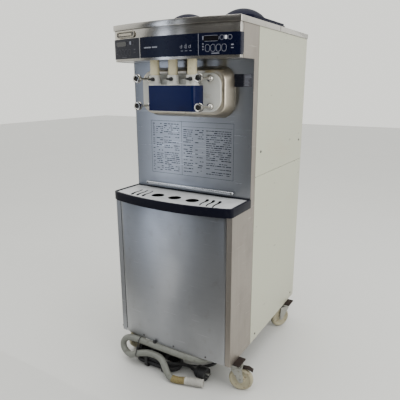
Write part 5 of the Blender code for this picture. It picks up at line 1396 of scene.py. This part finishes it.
# ---- casters ---------------------------------------------------------------------------------
class MACHINE_OT_casters(bpy.types.Operator):
    """Adds the four swivel casters with their plates, and the two brake pedals"""

    bl_idname = "machine.casters"
    bl_label = "Casters"

    def execute(self, context):
        for name, (x, y, heading) in CASTERS.items():
            place = Matrix.Translation((x, y, 0.0)) @ Matrix.Rotation(radians(heading), 4, "Z")
            self.fork(name, place)
            self.wheel(name, place)
            if name.startswith("front"):
                self.pedal(name, place)
        self.plates()
        return {"FINISHED"}

    def fork(self, name, place):
        low = 2 * WHEEL_R + 0.0035
        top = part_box(f"caster_fork_{name}")[1].z
        race = [
            (0.0, top), (0.0200, top), (0.0228, top - 0.0012), (0.0240, top - 0.0040), (0.0240, low + 0.0095),
            (0.0228, low + 0.0078), (0.0180, low + 0.0060), (0.0180, low + 0.0010), (0.0, low + 0.0010),
        ]
        parts = [turned(f"race_{name}", race, place, 40)]
        wide = WHEEL_HALF + 0.002 + 0.003
        crown = block(f"crown_{name}", (-0.0142, -wide, low), (TRAIL + 0.006, wide, low + 0.005), 0.0014, 3)
        crown.matrix_world = place
        parts.append(settle(crown))
        leg = [(-0.014, low + 0.004), (-0.014, low - 0.004), *arc((TRAIL, WHEEL_R), 0.011, 200, 360, 12), (TRAIL + 0.006, low - 0.012), (TRAIL + 0.006, low + 0.004)]
        for side in (-1, 1):
            plate = slab(f"leg_{name}_{side + 1}", upright(leg, side * wide), (0, -side * 0.003, 0))
            soften(plate, 0.0008)
            plate.matrix_world = place
            parts.append(settle(plate))
            bolt = [(0.0, 0.0032), (0.0040, 0.0032), (0.0066, 0.0022), (0.0070, 0.0), (0.0, 0.0)]
            at = place @ facing("Y" if side > 0 else "-Y", (TRAIL, side * wide, WHEEL_R))
            parts.append(turned(f"bolt_{name}_{side + 1}", bolt, at, 6 if side < 0 else 20))
        axle = [(0.0, -wide), (0.0050, -wide), (0.0050, wide), (0.0, wide)]
        parts.append(turned(f"axle_{name}", axle, place @ facing("Y", (TRAIL, 0.0, WHEEL_R)), 20))
        fork = smooth(joined(f"fork_{name}", parts))
        keep(fork, "worn_zinc", f"swivel_{name}", [f"caster_fork_{name}"])

    def wheel(self, name, place):
        h, r = WHEEL_HALF, WHEEL_R
        side = [
            (0.0053, h), (0.0150, h), (0.0162, h - 0.0008), (0.0185, h - 0.0040), (0.0260, h - 0.0048),
            (0.0350, h - 0.0042), (0.0385, h - 0.0014), (0.0405, h - 0.0004), (0.0440, h - 0.0012), (0.0478, h - 0.0040), (r, h - 0.0078),
        ]
        profile = side + [(a, -b) for a, b in side[::-1]] + [side[0]]
        wheel = smooth(turned(f"wheel_{name}_tread", profile, place @ facing("Y", (TRAIL, 0.0, WHEEL_R)), 64), 40)
        keep(wheel, "wheel_nylon", f"wheel_{name}", [f"caster_wheel_{name}"])

    def pedal(self, name, place):
        side = name.split("_")[1]
        high, near = 2 * WHEEL_R + 0.0035, TRAIL + 0.007
        outline = [
            (near, high), (near + 0.021, high), (near + 0.030, high - 0.0045), (near + 0.041, high - 0.0105),
            (near + 0.043, high - 0.0065), (near + 0.032, high - 0.0002), (near + 0.024, high + 0.004), (near, high + 0.004),
        ]
        pedal = slab(f"pedal_{side}_lever", upright(outline, 0.011), (0, -0.022, 0))
        soften(pedal, 0.0012)
        pedal.matrix_world = place
        keep(smooth(settle(pedal)), "rusty_plate", f"pedal_{side}", [f"brake_pedal_{side}"])

    def plates(self):
        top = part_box("base_pan")[0]
        parts, places = [], []
        for x, y, _ in CASTERS.values():
            z = 0.1259
            parts.append(block(f"plate_{x}_{y}", (x - 0.0352, y - 0.0302, z), (x + 0.0352, y + 0.0302, z + 0.0062), 0.0010))
            places += [(x + dx, y + dy, z) for dx in (-0.027, 0.027) for dy in (-0.022, 0.022)]
        keep(smooth(joined("caster_plates", parts)), "rusty_plate")
        nut = [(0.0, 0.0046), (0.0040, 0.0046), (0.0066, 0.0034), (0.0070, 0.0), (0.0, 0.0)]
        first = turned("plate_nut", nut, Matrix.Translation(places[0]) @ Matrix.Rotation(pi, 4, "X"), 6)
        rest = [copied(first, f"nut_{i}", Matrix.Translation(Vector(at) - Vector(places[0]))) for i, at in enumerate(places[1:])]
        keep(smooth(joined("plate_nuts", [first, *rest])), "worn_zinc")


# ---- inside ----------------------------------------------------------------------------------
class MACHINE_OT_insides(bpy.types.Operator):
    """Finishes the working parts inside the casing"""

    bl_idname = "machine.insides"
    bl_label = "Working parts"

    def execute(self, context):
        for side in ("left", "right"):
            dress(f"hopper_{side}", "inner_steel")
            dress(f"freezing_cylinder_{side}", "machined")
            dress(f"beater_{side}", "white_plastic")
            dress(f"beater_pulley_{side}", "machined")
        dress("motor_pulley", "machined")
        dress("beater_motor", "dark_enamel")
        dress("compressor", "dark_enamel")
        dress("drive_belt", "belt_rubber")
        dress("condenser", "machined")
        dress("condenser_fan", "black_plastic")
        dress("control_box", "black_plastic")
        return {"FINISHED"}


# ---- sidebar and running ---------------------------------------------------------------------
STEPS = (
    MACHINE_OT_stage,
    MACHINE_OT_drain_hose,
    MACHINE_OT_mains_cable,
    MACHINE_OT_front_panel,
    MACHINE_OT_head,
    MACHINE_OT_top_cover,
    MACHINE_OT_lids,
    MACHINE_OT_door,
    MACHINE_OT_plungers,
    MACHINE_OT_spout_cover,
    MACHINE_OT_knobs,
    MACHINE_OT_tray,
    MACHINE_OT_splash,
    MACHINE_OT_casing,
    MACHINE_OT_casters,
    MACHINE_OT_insides,
)


class MACHINE_PT_sidebar(bpy.types.Panel):
    """Lists the machine's colours, sizes and building steps"""

    bl_label = "Soft serve machine"
    bl_space_type = "VIEW_3D"
    bl_region_type = "UI"
    bl_category = "Machine"

    def draw(self, context):
        for group in (context.scene.machine_looks, context.scene.machine_sizes):
            for name in group.__annotations__:
                self.layout.prop(group, name)
        for step in STEPS:
            self.layout.operator(step.bl_idname)


CLASSES = (MachineLooks, MachineSizes, *STEPS, MACHINE_PT_sidebar)


def register():
    for item in CLASSES:
        bpy.utils.register_class(item)
    bpy.types.Scene.machine_looks = bpy.props.PointerProperty(type=MachineLooks)
    bpy.types.Scene.machine_sizes = bpy.props.PointerProperty(type=MachineSizes)


def unregister():
    del bpy.types.Scene.machine_looks
    del bpy.types.Scene.machine_sizes
    for item in reversed(CLASSES):
        bpy.utils.unregister_class(item)


def main():
    register()
    make_groups()
    make_finishes()
    for step in STEPS:
        family, name = step.bl_idname.split(".")
        getattr(getattr(bpy.ops, family), name)()
    only()


if __name__ == "__main__":
    main()
